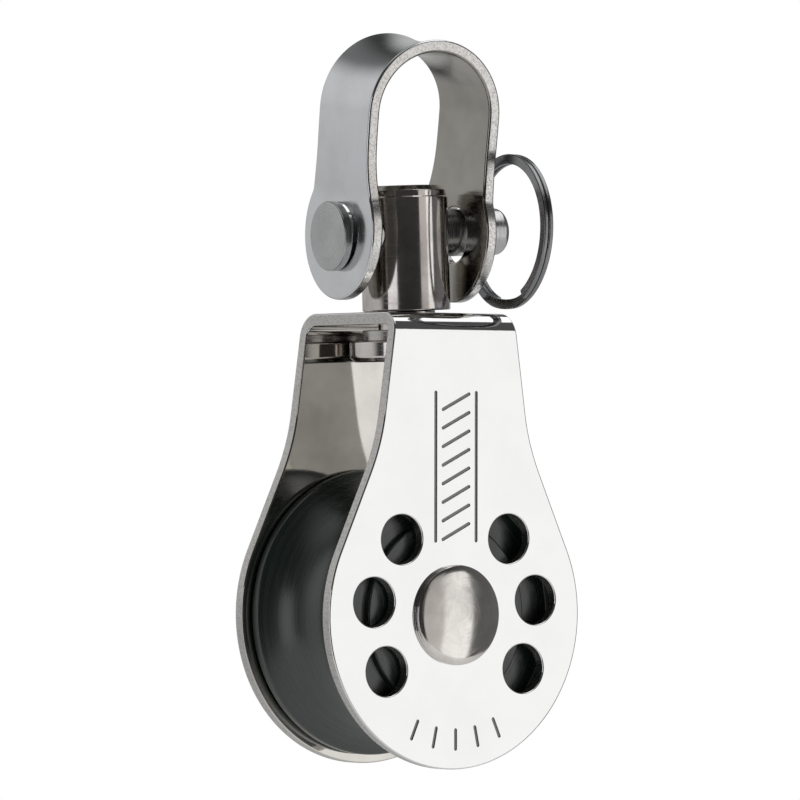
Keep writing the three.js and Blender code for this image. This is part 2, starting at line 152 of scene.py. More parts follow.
# ---------------------------------------------------------------- profiles and meshes
def rounded(points, radii, steps=5, closed=False):
    """A profile of straight runs whose corners are arcs of the given radii.

    An arc starts and ends at radius / tan(half the corner's angle) from the corner. Returns the
    points and, at each, the normal on the right-hand side of the direction of travel.
    """
    points = np.asarray(points, float)
    count = len(points)
    radii = np.broadcast_to(radii, count)
    out, normals = [], []
    for i in range(count):
        here = points[i]
        inner = closed or 0 < i < count - 1
        back = unit(points[i - 1] - here) if inner or i else None
        ahead = unit(points[(i + 1) % count] - here) if inner or i < count - 1 else None
        if not inner or radii[i] <= 0:
            travel = sum(v for v in (None if back is None else -back, ahead) if v is not None)
            travel = unit(travel)
            out.append(here)
            normals.append([travel[1], -travel[0]])
            continue
        half = math.acos(np.clip(back @ ahead, -1, 1)) / 2
        room = 0.49 * min(
            np.linalg.norm(points[i - 1] - here), np.linalg.norm(points[(i + 1) % count] - here)
        )
        radius = min(radii[i], room * math.tan(half))
        centre = here + unit(back + ahead) * radius / math.sin(half)
        first = (here + back * radius / math.tan(half) - centre) / radius
        last = (here + ahead * radius / math.tan(half) - centre) / radius
        turn = math.atan2(first[0] * last[1] - first[1] * last[0], first @ last)
        angle = np.linspace(0, turn, steps + 1)[:, None]
        side = np.array([-first[1], first[0]])
        spoke = np.cos(angle) * first + np.sin(angle) * side
        out.extend(centre + radius * spoke)
        normals.extend(spoke * math.copysign(1, turn))
    return np.array(out), np.array(normals)


def arc(centre, radius, start, end, steps):
    """Points on a circle in a profile, from one angle to another."""
    angle = np.linspace(start, end, steps + 1)
    return np.stack([centre[0] + radius * np.cos(angle), centre[1] + radius * np.sin(angle)], 1)


def grid_faces(rows, columns, wrap_rows=False, wrap_columns=True):
    """Quads of a grid of points whose index is row * columns + column."""
    row = np.arange(rows if wrap_rows else rows - 1)
    column = np.arange(columns if wrap_columns else columns - 1)
    row, column = (v.ravel() for v in np.meshgrid(row, column, indexing="ij"))
    above = (row + 1) % rows
    right = (column + 1) % columns
    corners = [(row, column), (row, right), (above, right), (above, column)]
    return np.stack([r * columns + c for r, c in corners], 1)


def signed_volume(points, faces):
    """Volume inside a closed mesh: the sum of the tetrahedra from the origin to each face's fan."""
    centre = points.mean(0)
    total = 0.0
    for size in sorted({len(f) for f in faces}):
        corners = points[np.array([f for f in faces if len(f) == size])] - centre
        for k in range(1, size - 1):
            total += np.einsum("ij,ij->", corners[:, 0], np.cross(corners[:, k], corners[:, k + 1])) / 6
    return total


def mesh_object(name, points, faces, normals=None, attributes=()):
    """A mesh object at the origin, smooth, with the given normals and point attributes."""
    if signed_volume(points, faces) < 0:
        faces = [face[::-1] for face in faces]
    mesh = bpy.data.meshes.new(name)
    mesh.from_pydata(points.tolist(), [], faces)
    mesh.polygons.foreach_set("use_smooth", np.ones(len(mesh.polygons), bool))
    for key, values in attributes:
        kind, field = ("FLOAT", "value") if np.ndim(values) == 1 else ("FLOAT_VECTOR", "vector")
        layer = mesh.attributes.new(key, kind, "POINT")
        layer.data.foreach_set(field, np.asarray(values, np.float32).ravel())
    mesh.update()
    if normals is not None:
        mesh.normals_split_custom_set_from_vertices(unit(normals).tolist())
    piece = bpy.data.objects.new(name, mesh)
    bpy.context.scene.collection.objects.link(piece)
    return piece


def fitted(piece, material, body, slot, *nodes):
    """Gives a piece its material and its body, and hides the CAD nodes that it stands for. The slot is not
    used.
    """
    piece.data.materials.clear()
    piece.data.materials.append(material)
    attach(piece, body)
    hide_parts(*nodes)
    return piece


def turning_grain(points, place):
    """Where the marks of a lathe run: near-constant round the axis, changing along and across it.

    With angle a, radius r and height h about the place's Z axis, the value in millimetres is
    (0.6 cos a, 0.6 sin a, h + 0.8 r).
    """
    local = place.local(points) / MM
    radius = np.hypot(local[:, 0], local[:, 1])
    safe = np.maximum(radius, 1e-6)
    return np.stack([0.6 * local[:, 0] / safe, 0.6 * local[:, 1] / safe, local[:, 2] + 0.8 * radius], 1)


def lathe_shape(profile, normals, place, segments, closed):
    """Points (r cos a, r sin a, h) of a profile (r, h) carried round an axis, with poles closed.

    Returns points, faces and normals in the row frame. An open profile starts and ends on the axis.
    """
    if not closed:
        poles = np.array([[0, profile[0, 1]], [0, profile[-1, 1]]])
        inner, inner_normals = profile[1:-1], normals[1:-1]
    else:
        inner, inner_normals = profile, normals
    angle = np.linspace(0, 2 * math.pi, segments, endpoint=False)
    spoke = np.stack([np.cos(angle), np.sin(angle)], 1)
    rings = np.concatenate(
        [inner[:, None, :1] * spoke, np.broadcast_to(inner[:, None, 1:], (len(inner), segments, 1))], 2
    ).reshape(-1, 3)
    out = np.concatenate(
        [
            inner_normals[:, None, :1] * spoke,
            np.broadcast_to(inner_normals[:, None, 1:], (len(inner), segments, 1)),
        ],
        2,
    ).reshape(-1, 3)
    faces = grid_faces(len(inner), segments, wrap_rows=closed).tolist()
    if not closed:
        low, high = len(rings), len(rings) + 1
        rings = np.concatenate([rings, [[0, 0, poles[0, 1]], [0, 0, poles[1, 1]]]])
        out = np.concatenate([out, [[0, 0, normals[0, 1]], [0, 0, normals[-1, 1]]]])
        near = np.arange(segments)
        after = (near + 1) % segments
        last = (len(inner) - 1) * segments
        faces += np.stack([after, near, np.full(segments, low)], 1).tolist()
        faces += np.stack([last + near, last + after, np.full(segments, high)], 1).tolist()
    return place.points(rings), faces, out @ place.axes


def lathe(name, profile, place, segments=128, closed=False):
    """A turned piece from (points, normals) of its profile, with its turning grain."""
    points, faces, normals = lathe_shape(*profile, place, segments, closed)
    return mesh_object(name, points, faces, normals, [("grain", turning_grain(points, place))])


def drilled(piece, place, radius, reach, grain_place):
    """Cuts a round hole of the given radius along a place's Z axis and regrains the result."""
    profile = rounded([[0, -reach], [radius, -reach], [radius, reach], [0, reach]], 0)
    points, faces, _ = lathe_shape(*profile, place, 64, False)
    cutter = mesh_object(piece.name + "_drill", points, faces)
    cut = piece.modifiers.new("hole", "BOOLEAN")
    cut.object = cutter
    cut.operation = "DIFFERENCE"
    cut.solver = "EXACT"
    graph = bpy.context.evaluated_depsgraph_get()
    mesh = bpy.data.meshes.new_from_object(piece.evaluated_get(graph))
    piece.modifiers.clear()
    bpy.data.objects.remove(cutter)
    piece.data = mesh
    co = np.zeros(len(mesh.vertices) * 3)
    mesh.vertices.foreach_get("co", co)
    grain = mesh.attributes.get("grain") or mesh.attributes.new("grain", "FLOAT_VECTOR", "POINT")
    values = turning_grain(co.reshape(-1, 3), grain_place)
    grain.data.foreach_set("vector", values.astype(np.float32).ravel())
    mesh.set_sharp_from_angle(angle=SHARP_ANGLE)
    weighted = piece.modifiers.new("flat_faces", "WEIGHTED_NORMAL")
    weighted.keep_sharp = True
    weighted.weight = 80
    return piece


# ---------------------------------------------------------------- bent sheet
class BentPath:
    """The outer face of a bent sheet seen from its edge: points and outward normals by length."""

    def __init__(self, points, middle):
        """Length is summed from point to point, and is zero at the share middle of the whole.

        The outward normal is the path's direction (x, z) turned to (z, -x).
        """
        points = np.asarray(points, float)
        step = np.linalg.norm(np.diff(points, axis=0), axis=1)
        keep = np.concatenate([[True], step > 1e-9])
        self.at = points[keep]
        length = np.concatenate([[0], np.cumsum(np.linalg.norm(np.diff(self.at, axis=0), axis=1))])
        self.length = length - length[-1] * middle
        tangent = unit(np.gradient(self.at, self.length, axis=0))
        self.out = np.stack([tangent[:, 1], -tangent[:, 0]], 1)

    def look(self, along):
        """Point and unit normal at a length, on the straight run between the nearest two points."""
        at = np.stack([np.interp(along, self.length, self.at[:, k]) for k in range(2)], -1)
        out = np.stack([np.interp(along, self.length, self.out[:, k]) for k in range(2)], -1)
        return at, unit(out)


def edge_rows(thickness, radius, steps=4):
    """Rows of a round-edged sheet's edge: (offset, depth, normal away, normal up, edge share)."""
    angle = np.linspace(0, math.pi / 2, steps + 1)
    offset, depth = -radius * (1 - np.sin(angle)), radius * (1 - np.cos(angle))
    share = np.where(angle > 0.98 * angle[-1], 1.0, 0.0)
    front = np.stack([offset, depth, np.sin(angle), np.cos(angle), share, 0 * angle], 1)
    back = front[::-1] * [1, -1, 1, -1, 1, 1] + [0, thickness, 0, 0, 0, 0]
    return np.concatenate([front, back])


def pocket_rows(depth, radius):
    """Rows of an engraved line's wall and floor, in the same columns, the last one how dark it is."""
    return np.array(
        [
            [-radius, 0, 0, 1, 0, 0],
            [-0.3 * radius, 0.3 * radius, 0.7, 0.7, 0, 0.4],
            [0, radius, 1, 0, 0, 1],
            [0, depth - radius, 1, 0, 0, 1],
            [radius, depth, 0, 1, 0, 1],
        ]
    )


def within(points, loop):
    """Whether each point is inside a closed loop, by the number of its sides to the right."""
    start, end = loop, np.roll(loop, -1, 0)
    x, y = points[:, None, 0], points[:, None, 1]
    crosses = (start[:, 1] > y) != (end[:, 1] > y)
    rise = np.where(end[:, 1] == start[:, 1], 1e-12, end[:, 1] - start[:, 1])
    at = start[:, 0] + (y - start[:, 1]) * (end[:, 0] - start[:, 0]) / rise
    return (crosses & (x < at)).sum(1) % 2 == 1


def flat_triangles(points, edges, outline, holes):
    """Triangles of a flat region with holes, on given points and edges."""
    grown = [tuple(p) for p in (points / MM).tolist()]
    result = delaunay_2d_cdt(grown, edges, [], 0, 1e-7, True)
    at = np.array([list(v) for v in result[0]])
    origin = np.array([ids[0] if ids else -1 for ids in result[3]])
    triangles = np.array(result[2])
    if (origin[triangles] < 0).any():
        raise RuntimeError("the sheet's outline crosses itself")
    a, b, c = (at[triangles[:, k]] for k in range(3))
    turn = (b[:, 0] - a[:, 0]) * (c[:, 1] - a[:, 1]) - (b[:, 1] - a[:, 1]) * (c[:, 0] - a[:, 0])
    triangles = np.where(turn[:, None] < 0, triangles[:, ::-1], triangles)
    middle = (a + b + c) / 3
    keep = within(middle, outline / MM)
    for hole in holes:
        keep &= ~within(middle, hole / MM)
    return origin[triangles[keep]]


def bent_sheet(name, half, rows, columns, holes, pockets, sizes, path, place, sink=None):
    """A sheet cut to an outline, pierced, engraved and bent along a path.

    The flat pattern has (across, along, out). half is the right-hand side of its outline, from the
    pole at one end to the pole at the other, and the left side mirrors it. Each loop's edge is the
    edge profile carried round it; the faces are triangles between the loops. A pattern point then
    goes to path(along) + out * normal(along), with across on the axis of the bends, and its normal
    goes with it by the cross products of the three directions that the map gives.
    """
    thickness, edge, engraved = sizes
    outline = np.concatenate([half, half[-2:0:-1] * [-1, 1]])
    loops = [(outline, edge_rows(thickness, edge))]
    loops += [(hole, edge_rows(thickness, edge)) for hole in holes]
    loops += [(line, pocket_rows(engraved, 0.04 * MM)) for line in pockets]
    points, normals, shares, faces, starts = [], [], [], [], []
    base = 0
    for loop, profile in loops:
        ahead = np.roll(loop, -1, 0) - np.roll(loop, 1, 0)
        away = unit(np.stack([ahead[:, 1], -ahead[:, 0]], 1))
        count = len(loop)
        for offset, depth, side, up, share, dark in profile:
            points.append(np.column_stack([loop + away * offset, np.full(count, -depth)]))
            normals.append(np.column_stack([away * side, np.full(count, up)]))
            shares.append(np.tile([share, dark], (count, 1)))
        faces += (grid_faces(len(profile), count)[:, [0, 3, 2, 1]] + base).tolist()
        starts.append((base, count, base + count * (len(profile) - 1)))
        base += count * len(profile)
    flat = np.concatenate(points)

    crossing = columns[1:-1]
    grid = []
    row_edges = []
    first, count, _ = starts[0]
    for i in rows:
        right, left = first + i, first + (count - i) % count
        ends = flat[[left, right], :2]
        inner = ends[0] + (ends[1] - ends[0]) * crossing[:, None]
        new = np.arange(len(inner)) + base + sum(len(g) for g in grid)
        row_edges.append(np.concatenate([[left], new, [right]]))
        grid.append(inner)
    grid = np.concatenate(grid) if grid and len(crossing) else np.zeros((0, 2))

    def face_of(surface, kept_loops, extra_base):
        """One face's triangles: loop k of the face is row start or end of loop k's edge."""
        ids, edges, cuts = [], [], []
        for k in kept_loops:
            at = np.arange(starts[k][1]) + (starts[k][0] if surface else starts[k][2])
            begin = sum(len(v) for v in ids)
            local = np.arange(len(at)) + begin
            edges += np.stack([local, np.roll(local, -1)], 1).tolist()
            cuts.append(flat[at, :2])
            ids.append(at)
        begin = sum(len(v) for v in ids)
        ids.append(np.arange(len(grid)) + extra_base)
        ids = np.concatenate(ids)
        for row in row_edges:
            chain = [r if r < base else begin + r - base for r in row]
            edges += [[chain[j], chain[j + 1]] for j in range(len(chain) - 1)]
        spots = np.concatenate([np.concatenate(cuts), grid])
        triangles = ids[flat_triangles(spots, edges, cuts[0], cuts[1:])]
        return triangles if surface else triangles[:, ::-1]

    whole = list(range(len(loops)))
    through = whole[: 1 + len(holes)]
    faces += face_of(True, whole, base).tolist()
    faces += face_of(False, through, base + len(grid)).tolist()
    for k in whole[1 + len(holes) :]:
        floor = np.arange(starts[k][1])[::-1] + starts[k][2]
        faces.append(floor.tolist())
    for depth, up in ((0, 1), (thickness, -1)):
        points.append(np.column_stack([grid, np.full(len(grid), -depth)]))
        normals.append(np.column_stack([0 * grid, np.full(len(grid), up)]))
        shares.append(np.zeros((len(grid), 2)))
    flat, local_normals = np.concatenate(points), np.concatenate(normals)
    shares = np.concatenate(shares)

    def bend(pattern):
        """A pattern point's spot: path(along) + (out + sink) * normal(along), across unchanged."""
        at, out = path.look(pattern[:, 1])
        rise = pattern[:, 2] + (sink(pattern) if sink else 0)
        spot = at + out * rise[:, None]
        return place.points(np.column_stack([pattern[:, 0], spot]))

    step = 2e-6
    three = [
        (bend(flat + np.eye(3)[k] * step) - bend(flat - np.eye(3)[k] * step)) / (2 * step)
        for k in range(3)
    ]
    crosses = [np.cross(three[1], three[2]), np.cross(three[2], three[0]), np.cross(three[0], three[1])]
    turned_normals = sum(local_normals[:, k : k + 1] * crosses[k] for k in range(3))
    grain = np.column_stack([flat[:, 0] / MM, flat[:, 1] / MM, flat[:, 2] / MM])
    # Mask of the inside face, which the shader darkens as painted shade.
    inside = (flat[:, 2] < -0.6 * thickness).astype(float)
    attributes = [("grain", grain), ("edge", shares[:, 0]), ("etched", shares[:, 1]), ("inside", inside)]
    return mesh_object(name, bend(flat), faces, turned_normals, attributes)


# ---------------------------------------------------------------- materials
def fill(tree, socket, value):
    """Links a socket to another one, or sets it to a value."""
    if isinstance(value, bpy.types.NodeSocket):
        tree.links.new(value, socket)
    else:
        socket.default_value = value


def add(tree, kind, inputs=None, **settings):
    """A node with its settings and with its inputs filled."""
    node = tree.nodes.new(kind)
    for key, value in settings.items():
        setattr(node, key, value)
    for key, value in (inputs or {}).items():
        fill(tree, node.inputs[key], value)
    return node


def blank(name):
    """A new material with its Principled shader."""
    material = bpy.data.materials.new(name)
    material.use_nodes = True
    return material, material.node_tree, material.node_tree.nodes["Principled BSDF"]


def noise(tree, vector, scale, detail=3.0, roughness=0.55):
    """The grey value of a noise pattern."""
    inputs = {"Vector": vector, "Scale": scale, "Detail": detail, "Roughness": roughness}
    return add(tree, "ShaderNodeTexNoise", inputs).outputs["Fac"]


def ramp(tree, value, low, high, out_low=0.0, out_high=1.0):
    """Carries a value smoothly from one range to another."""
    inputs = {"Value": value, "From Min": low, "From Max": high, "To Min": out_low, "To Max": out_high}
    return add(tree, "ShaderNodeMapRange", inputs, interpolation_type="SMOOTHSTEP").outputs["Result"]


def math_node(tree, operation, *values):
    """The result of one arithmetic operation on values or sockets."""
    return add(tree, "ShaderNodeMath", dict(enumerate(values)), operation=operation).outputs[0]


def attribute(tree, name, output="Fac"):
    """A point attribute of the piece."""
    return add(tree, "ShaderNodeAttribute", attribute_name=name).outputs[output]


def mixed(tree, share, first, second, kind="RGBA"):
    """A colour between two colours or, with kind FLOAT, a value between two values."""
    suffix = {"RGBA": "Color", "FLOAT": "Float"}[kind]
    node = add(tree, "ShaderNodeMix", data_type=kind)
    sockets = {socket.identifier: socket for socket in node.inputs}
    for key, value in (("Factor_Float", share), ("A_" + suffix, first), ("B_" + suffix, second)):
        fill(tree, sockets[key], value)
    return next(socket for socket in node.outputs if socket.identifier == "Result_" + suffix)


def rgba(colour, share=1.0):
    """A colour, darkened to a share of itself, with its alpha."""
    return (*(share * c for c in colour), 1.0)


def stretched(tree, vector, scales):
    """A grain vector scaled on each of its axes, so that noise on it runs in lines."""
    return add(tree, "ShaderNodeMapping", {"Vector": vector, "Scale": scales}).outputs["Vector"]


def finish(tree, shader, colour, roughness, height, depth):
    """Gives a shader its colour, its roughness and a bump of the given depth in metres."""
    bump = add(tree, "ShaderNodeBump", {"Strength": 1.0, "Distance": depth, "Height": height})
    fill(tree, shader.inputs["Base Color"], colour)
    fill(tree, shader.inputs["Roughness"], roughness)
    fill(tree, shader.inputs["Normal"], bump.outputs["Normal"])


def steel(name, light, dark, rough, lines, line_depth, mottle=0.5, sheared=None, inner=None):
    """Steel with cloudy tarnish, fine finishing lines and small pits.

    lines is how the grain is stretched on its three axes; sheared is the colour of a cut edge and
    inner that of the inside face, which is painted shade, for a piece with the edge, inside and
    etched attributes.
    """
    material, tree, shader = blank(name)
    grain = attribute(tree, "grain", "Vector")
    place = add(tree, "ShaderNodeTexCoord").outputs["Object"]
    clouds = noise(tree, place, CLOUD_SCALE, 4.0, 0.6)
    specks = noise(tree, place, SPECK_SCALE, 2.0, 0.6)
    scratches = noise(tree, stretched(tree, grain, lines), 1.0, 5.0, 0.65)
    tarnish = ramp(tree, clouds, 0.36, 0.72)
    colour = mixed(tree, math_node(tree, "MULTIPLY", tarnish, mottle), rgba(light), rgba(dark))
    pits = ramp(tree, specks, 0.66, 0.74, 0.0, 0.5 * mottle)
    colour = mixed(tree, pits, colour, rgba(dark, 0.55))
    worn = math_node(tree, "MULTIPLY_ADD", tarnish, 0.35 * rough, 0.7 * rough)
    scratched = ramp(tree, scratches, 0.45, 0.75, 0.0, 0.9 * rough)
    roughness = math_node(tree, "ADD", worn, scratched)
    height = scratches
    if sheared:
        faces = sheet_faces(tree, grain, clouds, sheared, inner)
        colour, roughness, height = faces(colour, roughness, height)
    finish(tree, shader, colour, roughness, height, line_depth)
    shader.inputs["Metallic"].default_value = 1.0
    return material


def sheet_faces(tree, grain, clouds, sheared, inner):
    """How a sheet's inside face with its painted shade, its sheared edge and its engraved lines differ
    from its outside.
    """
    edge, etched, inside = (attribute(tree, name) for name in ("edge", "etched", "inside"))
    marks = noise(tree, stretched(tree, grain, (1.0, 1.0, 1.3)), 4.5, 5.0, 0.7)
    cut = mixed(tree, ramp(tree, marks, 0.42, 0.64), rgba(sheared), rgba(sheared, 0.7))
    # Painted shade: the inside face's darker colour, with a random cloudy mottle.
    shaded_inside = mixed(tree, ramp(tree, clouds, 0.3, 0.75), rgba(inner), rgba(inner, 0.82))
    cut_rough = ramp(tree, marks, 0.3, 0.7, 0.18, 0.34)
    rise = math_node(tree, "MULTIPLY", edge, marks)

    def applied(colour, roughness, height):
        """Each share moves colour and roughness from the plain steel's; the edge also rises."""
        # The inside face takes the painted shade colour.
        colour = mixed(tree, inside, colour, shaded_inside)
        colour = mixed(tree, edge, colour, cut)
        colour = mixed(tree, etched, colour, rgba(ENGRAVED))
        roughness = mixed(tree, edge, roughness, cut_rough, "FLOAT")
        roughness = math_node(tree, "MULTIPLY_ADD", etched, 0.35, roughness)
        return colour, roughness, math_node(tree, "MULTIPLY_ADD", rise, 3.5, height)

    return applied


def acetal(name, light, dark, rough, depth, coat):
    """Moulded plastic: faint flow marks, fine pitting, and turning or rope wear along the grain."""
    material, tree, shader = blank(name)
    place = add(tree, "ShaderNodeTexCoord").outputs["Object"]
    flow = noise(tree, place, FLOW_SCALE, 4.0, 0.6)
    grain = stretched(tree, attribute(tree, "grain", "Vector"), (0.9, 0.9, 5.0))
    wear = noise(tree, grain, 1.0, 5.0, 0.7)
    pitting = noise(tree, place, PITTING_SCALE, 2.0, 0.5)
    share = math_node(tree, "MULTIPLY", ramp(tree, wear, 0.42, 0.7), 0.7)
    share = math_node(tree, "ADD", share, ramp(tree, flow, 0.4, 0.8, 0.0, 0.3))
    colour = mixed(tree, share, rgba(dark), rgba(light))
    roughness = ramp(tree, wear, 0.3, 0.7, 0.8 * rough, 1.25 * rough)
    height = math_node(tree, "MULTIPLY_ADD", wear, 1.5, pitting)
    finish(tree, shader, colour, roughness, height, depth)
    shader.inputs["Specular IOR Level"].default_value = 0.8
    shader.inputs["Coat Weight"].default_value = coat
    shader.inputs["Coat Roughness"].default_value = 1.3 * rough
    return material


def floor_paint(colour, glow):
    """Pale matt paint with a faint mottle that glows a little, like a lit sweep."""
    material, tree, shader = blank("pale_floor")
    place = add(tree, "ShaderNodeTexCoord").outputs["Object"]
    mottle = noise(tree, place, 9.0, 3.0, 0.5)
    tone = mixed(tree, mottle, rgba(colour), rgba(colour, 0.985))
    fill(tree, shader.inputs["Base Color"], tone)
    fill(tree, shader.inputs["Emission Color"], tone)
    shader.inputs["Emission Strength"].default_value = glow
    shader.inputs["Roughness"].default_value = 0.9
    shader.inputs["Specular IOR Level"].default_value = 0.1
    return material


# ---------------------------------------------------------------- sizes and colours
def length(name, description, millimetres):
    """A length property with its default in millimetres."""
    return FloatProperty(
        name=name, description=description, default=millimetres * MM, unit="LENGTH", precision=5
    )


def angle_of(name, description, degrees):
    """An angle property with its default in degrees."""
    return FloatProperty(
        name=name, description=description, default=math.radians(degrees), subtype="ANGLE", unit="ROTATION"
    )


def tint(name, description, default):
    """A colour property."""
    return FloatVectorProperty(
        name=name, description=description, default=default, subtype="COLOR", size=3, min=0, max=1
    )


class FrameSizes(PropertyGroup):
    """Sizes of the bent strap frame"""

    width: length("Width", "Across both cheeks, along the axle", 16.5)
    thickness: length("Sheet", "Thickness of the sheet", 1.25)
    bend: length("Bend", "Outside radius of the bends", 2.2)
    bridge_height: length("Bridge height", "Top of the bridge above the axle", 30.2)
    lobe_radius: length("Lobe radius", "Radius of the cheek round the axle", 15.4)
    bridge_half: length("Bridge half length", "Half the bridge's length along X", 7.3)
    waist_blend: length("Waist blend", "Reach of the soft waist each way", 3.0)
    edge_round: length("Edge round", "Radius of the tumbled edge", 0.17)
    drain_radius: length("Drain hole", "Radius of the drain holes", 2.46)
    drain_circle: length("Drain circle", "Radius of the circle of drain holes", 10.05)
    drain_step: angle_of("Drain step", "Angle between drain holes on one side", 41.0)
    stud_hole: length("Stud hole", "Radius of the hole in the bridge", 3.15)
    engraving: length("Engraving", "Depth of the engraved band and ticks", 0.12)
    stroke: length("Stroke", "Width of an engraved line", 0.3)
    taper: angle_of("Taper", "Taper of the neck on each side", 8.0)
    flank: angle_of("Flank", "Where the lobe turns into the flank", 24.5)


class EngravingSizes(PropertyGroup):
    """Sizes of the engraved band above the axle and the ticks below it"""

    low: length("Band foot", "Foot of the band above the axle", 7.4)
    high: length("Band top", "Top of the band above the axle", 22.2)
    half_width: length("Half width", "From the middle to each long line", 2.5)
    strands: IntProperty(name="Strands", description="Slanted strokes", default=8, min=2, max=20)
    slant: FloatProperty(name="Slant", description="Half a stroke's rise over the pitch", default=0.42)
    tick_low: length("Tick start", "Start of a tick from the axle", 11.45)
    tick_high: length("Tick end", "End of a tick from the axle", 13.35)
    tick_step: angle_of("Tick step", "Angle between ticks", 12.0)
    ticks: IntProperty(name="Ticks", description="Ticks on each side of the middle one", default=2)


class BearingSizes(PropertyGroup):
    """Sizes of the axle, the balls and the sheave"""

    axle_radius: length("Axle", "Radius of the rivet's shank", 3.0)
    head_radius: length("Rivet head", "Radius of the rivet's heads", 5.0)
    head_edge: length("Rivet edge", "Height of a head's edge", 0.62)
    head_dome: length("Rivet dome", "Rise of a head's dome", 0.53)
    race_radius: length("Race", "Radius of the race's shoulder", 5.4)
    ball_radius: length("Ball", "Radius of a ball", 1.5)
    ball_circle: length("Ball circle", "Radius of the balls' circle", 6.06)
    ball_count: IntProperty(name="Balls", description="Number of balls", default=12, min=6, max=24)
    sheave_radius: length("Sheave", "Radius of the sheave's rim", 14.5)
    tread_radius: length("Tread", "Radius of the groove's floor", 10.9)
    hub_radius: length("Hub", "Radius of the raised hub", 9.5)
    side_gap: length("Side gap", "Gap between the sheave and a cheek", 0.3)
    web_depth: length("Web depth", "How far the web is sunk", 0.7)
    wall_width: length("Wall", "Width of the groove's wall at the rim", 1.05)


class SwivelSizes(PropertyGroup):
    """Sizes of the swivel post, its stud and its washer"""

    post_radius: length("Post", "Radius of the post", 4.45)
    post_height: length("Post height", "Height of the post", 12.6)
    post_chamfer: length("Chamfer", "Chamfer at the post's top", 0.5)
    band_height: length("Band", "Height of the band at the post's top", 1.2)
    play: length("Play", "End play of the swivel on each side of the bridge", 0.3)
    stud_radius: length("Stud", "Radius of the stud's shank", 2.9)
    spigot_radius: length("Spigot", "Radius of the stud's end in the post", 2.3)
    spigot_length: length("Spigot length", "How far the stud's end goes into the post", 3.2)
    head_radius: length("Stud head", "Radius of the stud's head", 5.9)
    head_thickness: length("Stud head thickness", "Thickness of the stud's head", 2.1)
    washer_radius: length("Washer", "Radius of the washer", 4.5)
    washer_thickness: length("Washer thickness", "Thickness of the washer", 1.1)
    shift: length("Shift", "How far the post hangs off the middle", -0.15)
    lean: angle_of("Lean", "How far the post leans in its hole", 2.2)


class ShackleSizes(PropertyGroup):
    """Sizes of the strap shackle, its clevis pin and the split ring"""

    thickness: length("Strap", "Thickness of the strap", 1.25)
    width: length("Strap width", "Width of the strap", 10.0)
    bow_half: length("Bow half width", "Half the bow's outside width", 7.65)
    bow_height: length("Bow height", "Outside of the bow above the pin", 20.0)
    ear_half: length("Ear half width", "Half the width outside the ears", 7.3)
    ear_radius: length("Ear radius", "Radius of an ear", 6.8)
    ear_neck: length("Ear neck", "Where an ear meets the strap", 9.0)
    saddle: length("Saddle", "How far the crown's middle is sunk", 0.5)
    edge_round: length("Edge round", "Radius of the strap's edge", 0.26)
    ear_hole: length("Ear hole", "Radius of the pin's hole in an ear", 2.83)
    shift: length("Shift", "How far the shackle sits along the pin", -0.45)
    tip: angle_of("Tip", "How far the shackle tips forward", 7.6)
    lean: angle_of("Lean", "How far the shackle leans sideways", -0.3)
    heading: angle_of("Heading", "How far the shackle is turned about the post", -4.8)
    pin_radius: length("Pin", "Radius of the clevis pin", 2.38)
    pin_head: length("Pin head", "Radius of the pin's head", 3.5)
    pin_head_thickness: length("Pin head thickness", "Thickness of the head", 0.95)
    pin_head_reach: length("Head reach", "Head's face from the middle of the post", 9.0)
    pin_tail_reach: length("Tail reach", "Tail's end from the middle of the post", 11.3)
    cross_hole: length("Cross-hole", "Radius of the hole for the split ring", 1.15)
    ring_radius: length("Ring", "Middle radius of the split ring", 7.3)
    wire_width: length("Wire width", "Width of the ring's flat wire", 1.0)
    wire_thickness: length("Wire thickness", "Thickness of the ring's flat wire", 0.5)
    turn_gap: length("Turn gap", "Gap between the ring's two turns", 0.05)
    ring_step: angle_of("Step", "Angle over which the wire steps sideways", 30.0)
    ring_lean: angle_of("Ring lean", "Lean of the ring about the pin's cross axis", 4.0)
    ring_swing: angle_of("Ring swing", "Swing of the ring in the cross-hole", -1.0)


class Finishes(PropertyGroup):
    """Colours of the block and its surroundings"""

    polished: tint("Polished sheet", "Bright parts of the frame", (0.87, 0.87, 0.865))
    strap: tint("Strap", "Bright parts of the shackle", (0.76, 0.775, 0.79))
    rivet: tint("Rivet", "Bright parts of the rivet's head", (0.84, 0.81, 0.77))
    turned_steel: tint("Turned steel", "Bright parts of the post and the stud", (0.82, 0.78, 0.75))
    pin_steel: tint("Pin", "Bright parts of the clevis pin", (0.60, 0.605, 0.605))
    spring: tint("Spring wire", "Bright parts of the split ring", (0.3, 0.305, 0.31))
    sheared: tint("Cut edges", "Sheared edges of the sheet and strap", (0.62, 0.61, 0.59))
    black: tint("Black acetal", "The sheave", (0.016, 0.026, 0.021))
    white: tint("White acetal", "The balls", (0.80, 0.78, 0.72))
    floor: tint("Floor", "The floor", (0.93, 0.93, 0.93))


class StageSettings(PropertyGroup):
    """Camera, lights and floor"""

    azimuth: angle_of("Azimuth", "Camera's turn from the front", -35.77)
    pitch: angle_of("Pitch", "Camera's upward look", 0.65)
    roll: angle_of("Roll", "Camera's roll", 0.1)
    distance: length("Distance", "Camera's distance from the axle", 585.22)
    side: length("Side", "Camera's sideways shift", -0.78)
    height: length("Height", "Camera's height over the axle", 14.87)
    lens: FloatProperty(name="Lens", description="Focal length", default=261.01, unit="CAMERA")
    drop: length("Floor drop", "Floor below the lowest point of the block", 450.0)
    glow: FloatProperty(name="Glow", description="How much the floor glows", default=0.25, min=0, max=2)


SETTINGS = {
    "block_frame": FrameSizes,
    "block_engraving": EngravingSizes,
    "block_bearing": BearingSizes,
    "block_swivel": SwivelSizes,
    "block_shackle": ShackleSizes,
    "block_finish": Finishes,
    "block_stage": StageSettings,
}


def swivel_place(scene):
    """The middle of the bridge's top, leaning with the post."""
    lean = turned(y=-scene.block_swivel.lean)
    return Place(BLOCK.points([scene.block_swivel.shift, 0, scene.block_frame.bridge_height]), lean)


